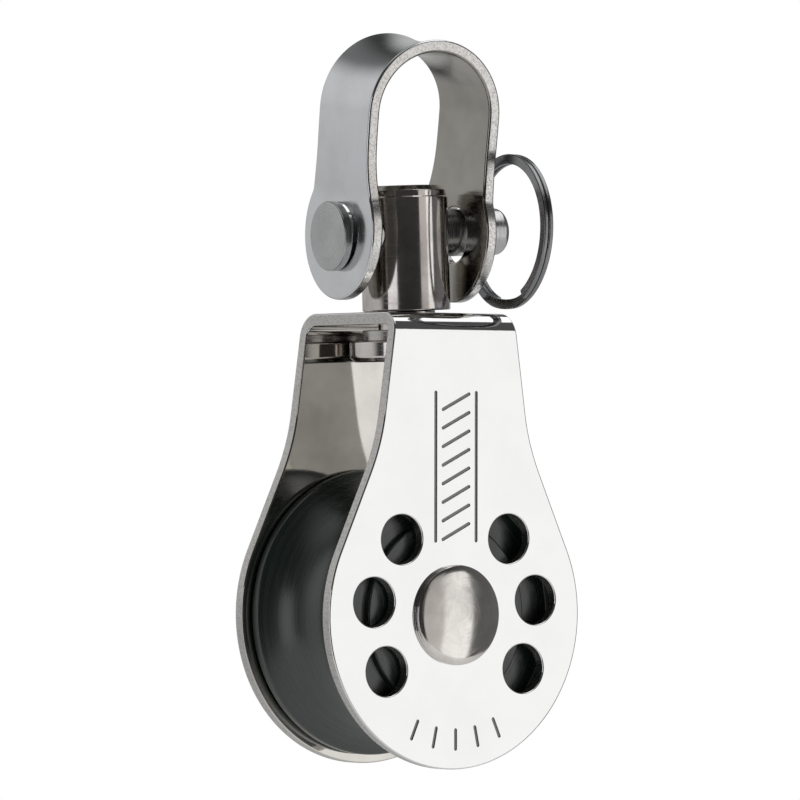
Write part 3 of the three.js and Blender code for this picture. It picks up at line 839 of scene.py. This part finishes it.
# ---------------------------------------------------------------- pieces
def circle(centre, radius, count):
    """A hole's loop in the flat pattern, clockwise so that its right-hand side is the hole."""
    return arc(centre, radius, 2 * math.pi, 0, count)[:-1]


def stroke_loop(start, end, width):
    """A straight engraved line with round ends, clockwise."""
    start, end = np.array(start), np.array(end)
    heading = math.atan2(*(end - start)[::-1])
    half = width / 2
    ends = [
        arc(end, half, heading + math.pi / 2, heading - math.pi / 2, 6),
        arc(start, half, heading - math.pi / 2, heading - 1.5 * math.pi, 6),
    ]
    return np.concatenate(ends)


def engraved_lines(s, axle, width):
    """The band's two long lines and slanted strokes, and the ticks, as loops in the flat pattern."""
    pitch = (s.high - s.low) / s.strands
    reach = s.half_width - 3 * width
    lines = []
    for x in (-s.half_width, s.half_width):
        lines.append(stroke_loop([x, axle + s.low], [x, axle + s.high], width))
    for i in range(s.strands):
        z = axle + s.low + pitch * (i + 0.5)
        rise = s.slant * pitch
        lines.append(stroke_loop([-reach, z - rise], [reach, z + rise], width))
    for turn in s.tick_step * np.arange(-s.ticks, s.ticks + 1):
        ray = np.array([math.sin(turn), -math.cos(turn)])
        lines.append(stroke_loop([0, axle] + ray * s.tick_low, [0, axle] + ray * s.tick_high, width))
    return lines


class BLOCK_OT_strap_frame(Operator):
    """Build the strap frame: a bent sheet with drain holes, an engraved band and ticks"""

    bl_idname = "block.strap_frame"
    bl_label = "Strap frame"

    def execute(self, context):
        """Outline: the lobe's arc, its tangent line, then the neck's line, which leans by the taper.

        A quadratic curve rounds the corner of the two lines. Heights become lengths along the bend.
        """
        s = context.scene.block_frame
        half = s.width / 2
        bend_length = s.bend * math.pi / 2
        bridge = half - s.bend
        corner = s.bridge_height - s.bend
        low = -s.lobe_radius
        bend = arc([bridge, corner], s.bend, 0, math.pi / 2, 48)
        front = np.concatenate([[[half, low - MM]], bend])
        path = BentPath(np.concatenate([front, front[::-1] * [-1, 1]]), 0.5)

        def along(z):
            """Length along the front cheek at a height, from the bridge's middle."""
            straight = -bridge - bend_length - (corner - z)
            curved = -bridge - s.bend * np.arccos(np.clip((z - corner) / s.bend, 0, 1))
            return np.where(z < corner, straight, curved)

        slope, steep = math.tan(s.taper), math.tan(s.flank)
        foot = s.bridge_half + s.bridge_height * slope
        touch = s.lobe_radius * np.array([math.cos(s.flank), math.sin(s.flank)])
        waist = (touch[0] + touch[1] * steep - foot) / (steep - slope)
        middle = np.array([foot - waist * slope, waist])
        below = middle + s.waist_blend * np.array([steep, -1])
        above = middle + s.waist_blend * np.array([-slope, 1])
        t = np.linspace(0, 1, 25)[:, None]
        soft = (1 - t) ** 2 * below + 2 * t * (1 - t) * middle + t**2 * above
        lobe = arc([0, 0], s.lobe_radius, -math.pi / 2, s.flank, 84)
        turns = np.linspace(0, math.pi / 2, 15)
        neck = corner + s.bend * np.sin(turns)
        shape = np.concatenate([lobe, soft, np.column_stack([foot - neck * slope, neck])])
        side = np.column_stack([shape[:, 0], along(shape[:, 1])])
        side[0, 0] = 0
        side[-1, 0] = s.bridge_half
        rows = np.arange(len(side) - len(turns), len(side))
        half_side = np.concatenate([side, (side * [1, -1])[::-1]])
        rows = np.concatenate([rows, len(half_side) - 1 - rows])

        cheeks = [along(0.0), -along(0.0)]
        axle_hole = context.scene.block_bearing.axle_radius + AXLE_CLEARANCE
        holes = [circle([0, 0], s.stud_hole, 64)]
        for way, axle in zip((1, -1), cheeks):
            holes.append(circle([0, axle], axle_hole, 64))
            for turn in s.drain_step * np.arange(1, 4):
                x, z = s.drain_circle * math.sin(turn), s.drain_circle * math.cos(turn)
                holes += [circle([side, axle + way * z], s.drain_radius, 56) for side in (-x, x)]
        lines = engraved_lines(context.scene.block_engraving, along(0.0), s.stroke)
        sheet_place = Place(BLOCK.origin, np.diag([1, -1, 1]))
        sizes = (s.thickness, s.edge_round, s.engraving)
        ends = np.linspace(0, 1, 2)
        piece = bent_sheet("strap_frame", half_side, rows, ends, holes, lines, sizes, path, sheet_place)
        colours = context.scene.block_finish
        light = tuple(colours.polished)
        dark = tuple(0.93 * c for c in light)
        # The inside face gets a darker colour as painted shade between the cheeks.
        faces = {"sheared": tuple(colours.sheared), "inner": FRAME_INSIDE_SHADE}
        metal = steel("polished_sheet", light, dark, 0.05, (0.5, 14.0, 1.0), 3e-7, 0.4, **faces)
        fitted(piece, metal, "frame", "polished_sheet", "cheek_frame")
        return {"FINISHED"}


class BLOCK_OT_axle(Operator):
    """Build the axle: the rivet and the two half races clamped on it"""

    bl_idname = "block.axle"
    bl_label = "Axle and races"

    def execute(self, context):
        """A head's dome is a parabola: crown - radius squared / (2 * bulge).

        A race's seat is an arc round the balls' circle, with the radius of a ball plus its clearance.
        """
        s = context.scene.block_bearing
        f = context.scene.block_frame
        colours = context.scene.block_finish
        place = BLOCK.lathe_axis("Y")
        seat = f.width / 2 + SEAT_GAP
        edge, crown = seat + s.head_edge, seat + s.head_edge + s.head_dome
        r = s.head_radius
        waist, brim, dome_radius = r - 0.14 * MM, r - 0.03 * MM, r - 0.2 * MM
        head = [
            [s.axle_radius, seat],
            [r, seat],
            [r, seat + 0.26 * MM],
            [waist, seat + 0.32 * MM],
            [waist, seat + 0.38 * MM],
            [brim, seat + 0.44 * MM],
            [brim, edge - 0.1 * MM],
        ]
        radii = [0.05, 0.04, 0.04, 0.02, 0.02, 0.04, 0.22]
        bulge = dome_radius**2 / (2 * s.head_dome)
        spread = np.linspace(dome_radius, 0, 9)
        dome = np.column_stack([spread, crown - spread**2 / (2 * bulge)])
        top = np.concatenate([head, dome])
        corners = np.array(radii + [0.0] * len(dome)) * MM
        whole = np.concatenate([top[::-1] * [1, -1], top])
        profile = rounded(whole, np.concatenate([corners[::-1], corners]))
        piece = lathe("rivet", profile, place, 160)
        light = tuple(colours.rivet)
        dark = tuple(0.7 * c for c in light)
        metal = steel("rivet_steel", light, dark, 0.14, (2.0, 2.0, 7.0), 3e-7, 0.9)
        fitted(piece, metal, "frame", "rivet_steel", "axle_rivet")

        race_steel = steel("race_steel", *RACE_STEEL, 0.2, (2.0, 2.0, 12.0), 1e-6)
        bore, high = s.axle_radius + AXLE_CLEARANCE, f.width / 2 - f.thickness - SEAT_GAP
        curve = s.ball_radius + BALL_CLEARANCE
        drop = s.ball_circle - s.race_radius
        shoulder = math.sqrt(curve**2 - drop**2)
        seat_arc = arc([s.ball_circle, 0], curve, math.pi - 0.01, math.pi - math.acos(drop / curve), 12)
        outer = [[s.race_radius, shoulder + 0.3 * MM], [s.race_radius, high], [bore, high]]
        loop = np.concatenate([[[bore, 0.01 * MM]], seat_arc, outer])
        smooth = np.array([0.05] + [0.0] * len(seat_arc) + [0.0, 0.2, 0.1]) * MM
        shape = rounded(loop, smooth, closed=True)
        flipped = Place(place.origin, place.axes * [[1], [-1], [-1]])
        for side, at in (("back", place), ("front", flipped)):
            race = lathe("race_" + side, shape, at, 96, True)
            fitted(race, race_steel, "frame", "race_steel", "inner_race_" + side)
        return {"FINISHED"}


class BLOCK_OT_balls(Operator):
    """Build the bearing's balls as one row"""

    bl_idname = "block.balls"
    bl_label = "Bearing balls"

    def execute(self, context):
        """Half circles turned about upright axes, evenly spaced from half a step off the top."""
        s = context.scene.block_bearing
        place = BLOCK.lathe_axis("Y")
        latitude = np.linspace(-math.pi / 2, math.pi / 2, 25)
        profile = s.ball_radius * np.stack([np.cos(latitude), np.sin(latitude)], 1)
        outward = np.stack([np.cos(latitude), np.sin(latitude)], 1)
        points, faces, normals = [], [], []
        for i in range(s.ball_count):
            angle = (i + 0.5) / s.ball_count * 2 * math.pi
            spot = BLOCK.moved(s.ball_circle * math.sin(angle), 0, s.ball_circle * math.cos(angle))
            p, f, n = lathe_shape(profile, outward, spot, 40, False)
            faces += [[k + len(p) * i for k in face] for face in f]
            points.append(p)
            normals.append(n)
        points = np.concatenate(points)
        grain = turning_grain(points, place)
        piece = mesh_object("bearing_balls", points, faces, np.concatenate(normals), [("grain", grain)])
        white = tuple(context.scene.block_finish.white)
        plastic = acetal("ball_acetal", white, tuple(0.86 * c for c in white), 0.24, 1e-6, 0.2)
        nodes = ["ball_%02d" % (i + 1) for i in range(s.ball_count)]
        fitted(piece, plastic, "balls", "ball_acetal", *nodes)
        return {"FINISHED"}


class BLOCK_OT_sheave(Operator):
    """Build the sheave: ball seat, raised hub, sunk web, rim and broad rope groove"""

    bl_idname = "block.sheave"
    bl_label = "Sheave"

    def execute(self, context):
        """The groove is the arc through the tread's middle and both edges of the mouth.

        Its radius is (mouth squared + depth squared) / (2 * depth). The ball seat is an arc too.
        """
        s = context.scene.block_bearing
        f = context.scene.block_frame
        half = f.width / 2 - f.thickness - s.side_gap
        web = half - s.web_depth
        mouth = half - s.wall_width
        depth = s.sheave_radius - s.tread_radius
        groove = (mouth**2 + depth**2) / (2 * depth)
        sweep = math.asin(mouth / groove)
        tread = arc([s.tread_radius + groove, 0], groove, math.pi + sweep, math.pi - sweep, 28)
        bore = s.race_radius + RACE_GAP
        curve = s.ball_radius + BALL_CLEARANCE
        turn = math.acos((bore - s.ball_circle) / curve)
        seat = arc([s.ball_circle, 0], curve, turn, -turn, 18)
        rim = s.sheave_radius - RIM_WIDTH
        low = [[bore, -half], [s.hub_radius, -half], [s.hub_radius + 0.2 * MM, -web], [rim, -web]]
        low += [[rim + 0.2 * MM, -half], [s.sheave_radius, -half]]
        low_radii = [0.15, 0.22, 0.2, 0.2, 0.2, 0.35]
        loop = np.concatenate([low, tread, np.array(low[::-1]) * [1, -1], seat])
        radii = low_radii + [0.3] + [0.0] * (len(tread) - 2) + [0.3] + low_radii[::-1] + [0.0] * len(seat)
        shape = rounded(loop, np.array(radii) * MM, closed=True)
        piece = lathe("rope_sheave", shape, BLOCK.lathe_axis("Y"), 192, True)
        black = tuple(context.scene.block_finish.black)
        plastic = acetal("sheave_acetal", tuple(2.0 * c for c in black), black, 0.27, 1e-6, 0.5)
        fitted(piece, plastic, "sheave", "sheave_acetal", "sheave")
        return {"FINISHED"}


class BLOCK_OT_swivel(Operator):
    """Build the swivel: the turned post, its stud and the thrust washer"""

    bl_idname = "block.swivel"
    bl_label = "Swivel"

    def execute(self, context):
        """Profiles turned about the leaning axis. The pin's bore crosses the post at a right angle."""
        s = context.scene.block_swivel
        f = context.scene.block_frame
        k = context.scene.block_shackle
        light = tuple(context.scene.block_finish.turned_steel)
        turned_steel = steel(
            "turned_steel", light, tuple(0.6 * c for c in light), 0.13, (0.8, 0.8, 14.0), 5e-7, 1.0
        )
        place = swivel_place(context.scene)
        foot, top = s.play, s.play + s.post_height
        neck = s.post_radius - BAND_RELIEF
        post = [
            [0, foot],
            [s.post_radius, foot],
            [s.post_radius, top - s.band_height],
            [neck, top - s.band_height + 0.1 * MM],
            [neck, top - s.post_chamfer],
            [neck - s.post_chamfer, top],
            [0, top],
        ]
        radii = np.array([0, 0.18, 0.06, 0.06, 0.14, 0.14, 0]) * MM
        piece = lathe("post", rounded(post, radii), place, 192)
        across = Place(PIN.origin, turned(z=k.heading) @ place.axes)
        drilled(piece, across.lathe_axis("X"), k.pin_radius + PIN_CLEARANCE, 2 * s.post_radius, place)
        socket = place.moved(z=foot)
        drilled(piece, socket, s.spigot_radius + AXLE_CLEARANCE, s.spigot_length + SOCKET_SPARE, place)
        fitted(piece, turned_steel, "post", "turned_steel", "swivel_post")

        washer_top = -f.thickness - s.play
        head_top = washer_top - s.washer_thickness - SEAT_GAP
        low = head_top - s.head_thickness
        stud = [
            [0, low],
            [s.head_radius - 0.5 * MM, low],
            [s.head_radius, low + 0.55 * MM],
            [s.head_radius, head_top],
            [s.stud_radius, head_top],
            [s.stud_radius, foot - SEAT_GAP],
            [s.spigot_radius, foot - SEAT_GAP],
            [s.spigot_radius, foot + s.spigot_length],
            [0, foot + s.spigot_length],
        ]
        radii = np.array([0, 0.4, 0.4, 0.18, 0.05, 0.1, 0.05, 0.2, 0]) * MM
        piece = lathe("stud", rounded(stud, radii), place, 128)
        fitted(piece, turned_steel, "post", "turned_steel", "swivel_stud")

        bore = s.stud_radius + AXLE_CLEARANCE
        ring = [
            [bore, washer_top - s.washer_thickness],
            [s.washer_radius, washer_top - s.washer_thickness],
            [s.washer_radius, washer_top],
            [bore, washer_top],
        ]
        washer = lathe("washer", rounded(ring, 0.12 * MM, closed=True), place, 96, True)
        washer_steel = steel("washer_steel", *WASHER_STEEL, 0.28, (2.0, 2.0, 8.0), 2e-6)
        fitted(washer, washer_steel, "post", "washer_steel", "thrust_washer")
        return {"FINISHED"}


class BLOCK_OT_pin(Operator):
    """Build the clevis pin with its flat head and its cross-hole"""

    bl_idname = "block.pin"
    bl_label = "Clevis pin"

    def execute(self, context):
        """A stepped profile turned about the pin's axis and drilled across for the ring."""
        s = context.scene.block_shackle
        face = -s.pin_head_reach
        under = face + s.pin_head_thickness
        shape = [
            [0, face],
            [s.pin_head, face],
            [s.pin_head, under],
            [s.pin_radius, under],
            [s.pin_radius, s.pin_tail_reach],
            [0, s.pin_tail_reach],
        ]
        radii = np.array([0, 0.2, 0.16, 0.04, 0.7, 0]) * MM
        place = PIN.lathe_axis("X")
        piece = lathe("pin", rounded(shape, radii, 8), place, 128)
        drilled(piece, CROSS_HOLE, s.cross_hole, 2 * s.pin_radius, place)
        light = tuple(context.scene.block_finish.pin_steel)
        dark = tuple(0.75 * c for c in light)
        metal = steel("pin_steel", light, dark, 0.26, (1.2, 1.2, 8.0), 3e-7, 0.7)
        fitted(piece, metal, "pin", "pin_steel", "clevis_pin")
        return {"FINISHED"}


class BLOCK_OT_ring(Operator):
    """Build the split ring: two turns of flat wire that step sideways once"""

    bl_idname = "block.ring"
    bl_label = "Split ring"

    def execute(self, context):
        """The wire's section goes round by length / radius, over two turns less 1.5 steps.

        Sideways it moves by 3 t squared - 2 t cubed, where t is the share of the step. At both ends
        the section draws in as a quarter circle.
        """
        s = context.scene.block_shackle
        lean = turned(y=s.ring_lean, z=s.ring_swing)
        place = Place(CROSS_HOLE.origin, lean @ CROSS_HOLE.axes)
        place = place.moved(y=s.pin_radius**2 / (4 * s.ring_radius) - s.ring_radius)
        turns = 4 * math.pi - 1.5 * s.ring_step
        start = -math.pi / 2 - s.ring_step
        cut = 0.12 * MM
        lip = np.linspace(0, math.pi / 2, 5)
        plain = 420
        drawn = cut * (1 - np.sin(lip))
        inset = np.concatenate([drawn, np.zeros(plain), drawn[::-1]])
        whole = turns * s.ring_radius
        ends = cut * (1 - np.cos(lip))
        reach = np.concatenate([ends, np.linspace(cut, whole - cut, plain + 2)[1:-1], whole - ends[::-1]])
        angle = reach / s.ring_radius
        middle = 2 * math.pi - s.ring_step
        share = np.clip((angle - middle + 0.5 * s.ring_step) / s.ring_step, 0, 1)
        side = (share * share * (3 - 2 * share) - 0.5) * (s.wire_thickness + s.turn_gap)
        spoke = np.stack([np.cos(start - angle), np.sin(start - angle)], 1)
        wide, thin = s.wire_width / 2, s.wire_thickness / 2
        box = [[-thin, -wide], [thin, -wide], [thin, wide], [-thin, wide]]
        section, outward = rounded(box, 0.14 * MM, 4, closed=True)
        count = len(section)
        pulled = section[None] - outward[None] * inset[:, None, None]
        across = side[:, None] + pulled[:, :, 0]
        radius = s.ring_radius + pulled[:, :, 1]
        points = np.stack([across, radius * spoke[:, :1], radius * spoke[:, 1:]], 2)
        sideways = np.broadcast_to(outward[:, 0], across.shape)
        normals = np.stack([sideways, outward[:, 1] * spoke[:, :1], outward[:, 1] * spoke[:, 1:]], 2)
        run = np.stack([0 * angle, np.sin(start - angle), -np.cos(start - angle)], 1)
        lean_out = inset / cut
        way = np.where(np.arange(len(angle)) < len(angle) / 2, -1, 1)
        normals = normals * np.sqrt(1 - lean_out**2)[:, None, None]
        normals = normals + (run * (way * lean_out)[:, None])[:, None]
        faces = grid_faces(len(angle), count).tolist()
        faces += [list(range(count))[::-1], [len(angle) * count - count + k for k in range(count)]]
        turn_grain = np.column_stack(
            [np.repeat(0.15 * reach / MM, count), (radius / MM).ravel(), (across / MM).ravel()]
        )
        piece = mesh_object(
            "ring",
            place.points(points.reshape(-1, 3)),
            faces,
            (normals.reshape(-1, 3)) @ place.axes,
            [("grain", turn_grain)],
        )
        light = tuple(context.scene.block_finish.spring)
        dark = tuple(0.62 * c for c in light)
        metal = steel("spring_steel", light, dark, 0.24, (0.5, 9.0, 9.0), 1.5e-6, 0.7)
        fitted(piece, metal, "ring", "spring_steel", "split_ring")
        return {"FINISHED"}


class BLOCK_OT_shackle(Operator):
    """Build the strap shackle: round ears, necks and a saddle-shaped crown"""

    bl_idname = "block.shackle"
    bl_label = "Shackle"

    def execute(self, context):
        """Path: a quadratic curve from the ear to the bow's side, then a half circle over the top.

        Outline: the ear's arc, a quadratic curve in to half the strap's width, then the straight strap.
        """
        s = context.scene.block_shackle
        crown = s.bow_height - s.bow_half
        knee = s.ear_radius
        t = np.linspace(0, 1, 40)[:, None]
        leg = (1 - t) ** 2 * [s.ear_half, 0.6 * knee] + 2 * t * (1 - t) * [s.bow_half, knee]
        leg = leg + t**2 * [s.bow_half, crown]
        bow = arc([0, crown], s.bow_half, 0, math.pi / 2, 160)
        right = np.concatenate([[[s.ear_half, -s.ear_radius - MM]], leg, bow[1:]])
        path = BentPath(np.concatenate([right, (right * [-1, 1])[-2::-1]]), 0.5)
        up = np.argmax(path.at[:, 1])

        def along(z):
            """Length at a height on the path's rising side, on straight runs between its points."""
            return np.interp(z, path.at[: up + 1, 1], path.length[: up + 1])

        half = s.width / 2
        leave = math.asin(half / s.ear_radius) + math.radians(10)
        touch = s.ear_radius * np.array([math.sin(leave), math.cos(leave)])
        ear = arc([0, 0], s.ear_radius, -math.pi / 2, math.pi / 2 - leave, 56)
        t = np.linspace(0, 1, 15)[1:, None]
        control = np.array([half, (s.ear_neck + touch[1]) / 2])
        neck = (1 - t) ** 2 * touch + 2 * t * (1 - t) * control + t**2 * [half, s.ear_neck]
        shape = np.concatenate([ear, neck])
        lower = np.column_stack([shape[:, 0], along(shape[:, 1])])
        lower[0, 0] = 0
        count = 36
        strap = np.linspace(lower[-1, 1], 0, count + 1)[1:-1]
        upper = np.column_stack([np.full(len(strap), half), strap])
        side = np.concatenate([lower, upper])
        half_side = np.concatenate([side, [[half, 0]], (side * [1, -1])[::-1]])
        rows = np.arange(len(ear) + 1, len(half_side) - len(ear) - 1)
        hole = along(0.0)
        holes = [circle([0, hole], s.ear_hole, 64), circle([0, -hole], s.ear_hole, 64)]
        reach = -strap[0] * 0.8

        def sink(pattern):
            """The crown's middle sinks by a cosine hump along the strap and a parabola across it."""
            hump = 0.5 + 0.5 * np.cos(math.pi * np.clip(pattern[:, 1] / reach, -1, 1))
            return -s.saddle * hump * (1 - np.clip(pattern[:, 0] / half, -1, 1) ** 2)

        tilt = turned(s.tip, -s.lean, s.heading)
        place = Place(PIN_CENTRE, tilt).moved(x=s.shift)
        place = Place(place.origin, place.axes[[1, 0, 2]])
        sizes = (s.thickness, s.edge_round, 0.1 * MM)
        spread = np.linspace(0, 1, 23)
        piece = bent_sheet("bow_shackle", half_side, rows, spread, holes, [], sizes, path, place, sink)
        colours = context.scene.block_finish
        light = tuple(colours.strap)
        dark = tuple(0.86 * c for c in light)
        # The inside face gets a darker colour as painted shade inside the bow.
        faces = {"sheared": tuple(1.4 * c for c in colours.sheared), "inner": STRAP_INSIDE_SHADE}
        metal = steel("polished_strap", light, dark, 0.15, (0.5, 8.0, 1.0), 8e-7, 0.6, **faces)
        fitted(piece, metal, "shackle", "polished_strap", "shackle")
        return {"FINISHED"}


# Soft panels: name, degrees right of the camera and up, degrees wide and tall, brightness, colour.
PANELS = (
    ("key_panel", 70, -4, 18, 50, 0.97, (1.0, 1.0, 0.995)),
    ("second_panel", 51, 0, 20, 56, 0.5, (1.0, 0.95, 0.93)),
    ("left_panel", -35, -8, 26, 44, 1.0, (0.965, 0.95, 1.0)),
    ("top_panel", 110, 66, 60, 30, 1.1, (1.0, 1.0, 1.0)),
)


class BLOCK_OT_stage(Operator):
    """Build the floor, the soft lights, the room and the camera"""

    bl_idname = "block.stage"
    bl_label = "Stage"

    def execute(self, context):
        """The camera looks along -out, pitched up and rolled; the floor is rings of points."""
        scene = context.scene
        s = scene.block_stage
        low = CAD_BOX[0][2] - s.drop
        angle = np.linspace(0, 2 * math.pi, 96, endpoint=False)
        radius = np.array([0.0001, 0.4, 0.8, 1.2])
        rim = np.stack([np.cos(angle), np.sin(angle)], 1)
        flat = np.concatenate([rim * r for r in radius])
        points = np.column_stack([flat, np.full(len(flat), low)])
        faces = grid_faces(len(radius), len(angle)).tolist() + [list(range(len(angle)))[::-1]]
        mesh = bpy.data.meshes.new("floor")
        mesh.from_pydata(points.tolist(), [], faces)
        floor = bpy.data.objects.new("floor", mesh)
        mesh.materials.append(floor_paint(tuple(scene.block_finish.floor), s.glow))
        scene.collection.objects.link(floor)

        out = np.array([math.sin(s.azimuth), -math.cos(s.azimuth), 0])
        right = np.array([math.cos(s.azimuth), math.sin(s.azimuth), 0])
        up = np.array([0, 0, 1.0])
        eye = BLOCK.origin + out * s.distance + right * s.side + up * s.height
        look = -out * math.cos(s.pitch) + up * math.sin(s.pitch)
        above = np.cross(right, look)
        level = right * math.cos(s.roll) + above * math.sin(s.roll)
        upright = -right * math.sin(s.roll) + above * math.cos(s.roll)
        camera = bpy.data.objects.new("camera", bpy.data.cameras.new("camera"))
        camera.data.lens = s.lens
        camera.data.clip_start, camera.data.clip_end = 0.01, 30.0
        turn = Matrix(np.stack([level, upright, -look], 1).tolist())
        camera.matrix_world = Matrix.Translation(eye.tolist()) @ turn.to_4x4()
        scene.collection.objects.link(camera)
        scene.camera = camera

        def softbox(name, azimuth, height, wide, tall, strength, colour, distance=1.3):
            """A soft panel that faces the block. Angles are degrees right of the camera and up."""
            a, e = math.radians(azimuth), math.radians(height)
            ray = (out * math.cos(a) + right * math.sin(a)) * math.cos(e) + up * math.sin(e)
            light = bpy.data.lights.new(name, "AREA")
            light.shape = "RECTANGLE"
            light.size = 2 * distance * math.tan(math.radians(wide / 2))
            light.size_y = 2 * distance * math.tan(math.radians(tall / 2))
            light.energy = strength * math.pi * light.size * light.size_y
            light.color = colour
            panel = bpy.data.objects.new(name, light)
            across = unit(np.cross(up, ray))
            axes = np.stack([across, np.cross(ray, across), ray], 1)
            spot = BLOCK.origin + ray * distance
            panel.matrix_world = Matrix.Translation(spot.tolist()) @ Matrix(axes.tolist()).to_4x4()
            panel.visible_camera = False
            scene.collection.objects.link(panel)

        for panel in PANELS:
            softbox(*panel)
        self.room(scene, out, right, up)
        scene.view_settings.view_transform = "Standard"
        return {"FINISHED"}

    def room(self, scene, out, right, up):
        """The room: white to the camera, darker round the camera and mid-grey behind the block."""
        world = bpy.data.worlds.new("studio")
        scene.world = world
        world.use_nodes = True
        tree = world.node_tree
        tree.nodes.clear()
        ray = add(tree, "ShaderNodeTexCoord").outputs["Generated"]

        def facing(direction):
            """How far a ray looks in a direction: the cosine of the angle between them."""
            inputs = {0: ray, 1: tuple(unit(direction))}
            return add(tree, "ShaderNodeVectorMath", inputs, operation="DOT_PRODUCT").outputs["Value"]

        behind = facing(-out * 0.35 - right)
        opposite = facing(-out * 0.6 + right * 0.8)
        left_wall = ramp(tree, behind, 0.62, 0.86, 0.035, 0.50)
        shade = math_node(tree, "ADD", left_wall, ramp(tree, opposite, 0.3, 1.0, 0.0, 0.1))
        beyond = ramp(tree, facing(-out), 0.82, 0.97, 0.0, 0.42)
        high_left = ramp(tree, facing(up * 0.8 - right * 0.8 - out * 0.2), 0.6, 0.9, 0.0, 0.14)
        for part in (beyond, high_left):
            shade = math_node(tree, "ADD", shade, part)
        lift = ramp(tree, facing(up), 0.72, 0.98, 0.0, 0.35)
        shade = math_node(tree, "ADD", shade, lift)
        channels = {channel: shade for channel in ("Red", "Green", "Blue")}
        tone = add(tree, "ShaderNodeCombineColor", channels).outputs["Color"]
        studio = add(tree, "ShaderNodeBackground", {"Color": tone, "Strength": 1.0})
        white = add(tree, "ShaderNodeBackground", {"Color": (1, 1, 1, 1), "Strength": 1.0})
        seen = add(tree, "ShaderNodeLightPath").outputs["Is Camera Ray"]
        both = add(
            tree,
            "ShaderNodeMixShader",
            {0: seen, 1: studio.outputs["Background"], 2: white.outputs["Background"]},
        )
        add(tree, "ShaderNodeOutputWorld", {"Surface": both.outputs["Shader"]})


class BLOCK_PT_panel(Panel):
    """Lists the block's pieces and their sizes"""

    bl_idname = "BLOCK_PT_panel"
    bl_label = "Single sheave block"
    bl_space_type = "VIEW_3D"
    bl_region_type = "UI"
    bl_category = "Block"

    def draw(self, context):
        """One button for each operator, and a box of settings for each group."""
        for operator in OPERATORS:
            self.layout.operator(operator.bl_idname)
        for key, group in SETTINGS.items():
            box = self.layout.box()
            box.label(text=group.__doc__)
            for field in group.__annotations__:
                box.prop(getattr(context.scene, key), field)


OPERATORS = (
    BLOCK_OT_stage,
    BLOCK_OT_strap_frame,
    BLOCK_OT_axle,
    BLOCK_OT_balls,
    BLOCK_OT_sheave,
    BLOCK_OT_swivel,
    BLOCK_OT_pin,
    BLOCK_OT_ring,
    BLOCK_OT_shackle,
)


def register():
    """Registers the classes and puts each group of settings on the scene."""
    for cls in (*SETTINGS.values(), *OPERATORS, BLOCK_PT_panel):
        bpy.utils.register_class(cls)
    for key, group in SETTINGS.items():
        setattr(bpy.types.Scene, key, PointerProperty(type=group))


def unregister():
    """Takes the settings off the scene and the classes out again."""
    for key in SETTINGS:
        delattr(bpy.types.Scene, key)
    for cls in (BLOCK_PT_panel, *reversed(OPERATORS), *reversed(SETTINGS.values())):
        bpy.utils.unregister_class(cls)


def main():
    """Builds the stage and every piece."""
    register()
    for operator in OPERATORS:
        group, call = operator.bl_idname.split(".")
        getattr(getattr(bpy.ops, group), call)()


if __name__ == "__main__":
    main()
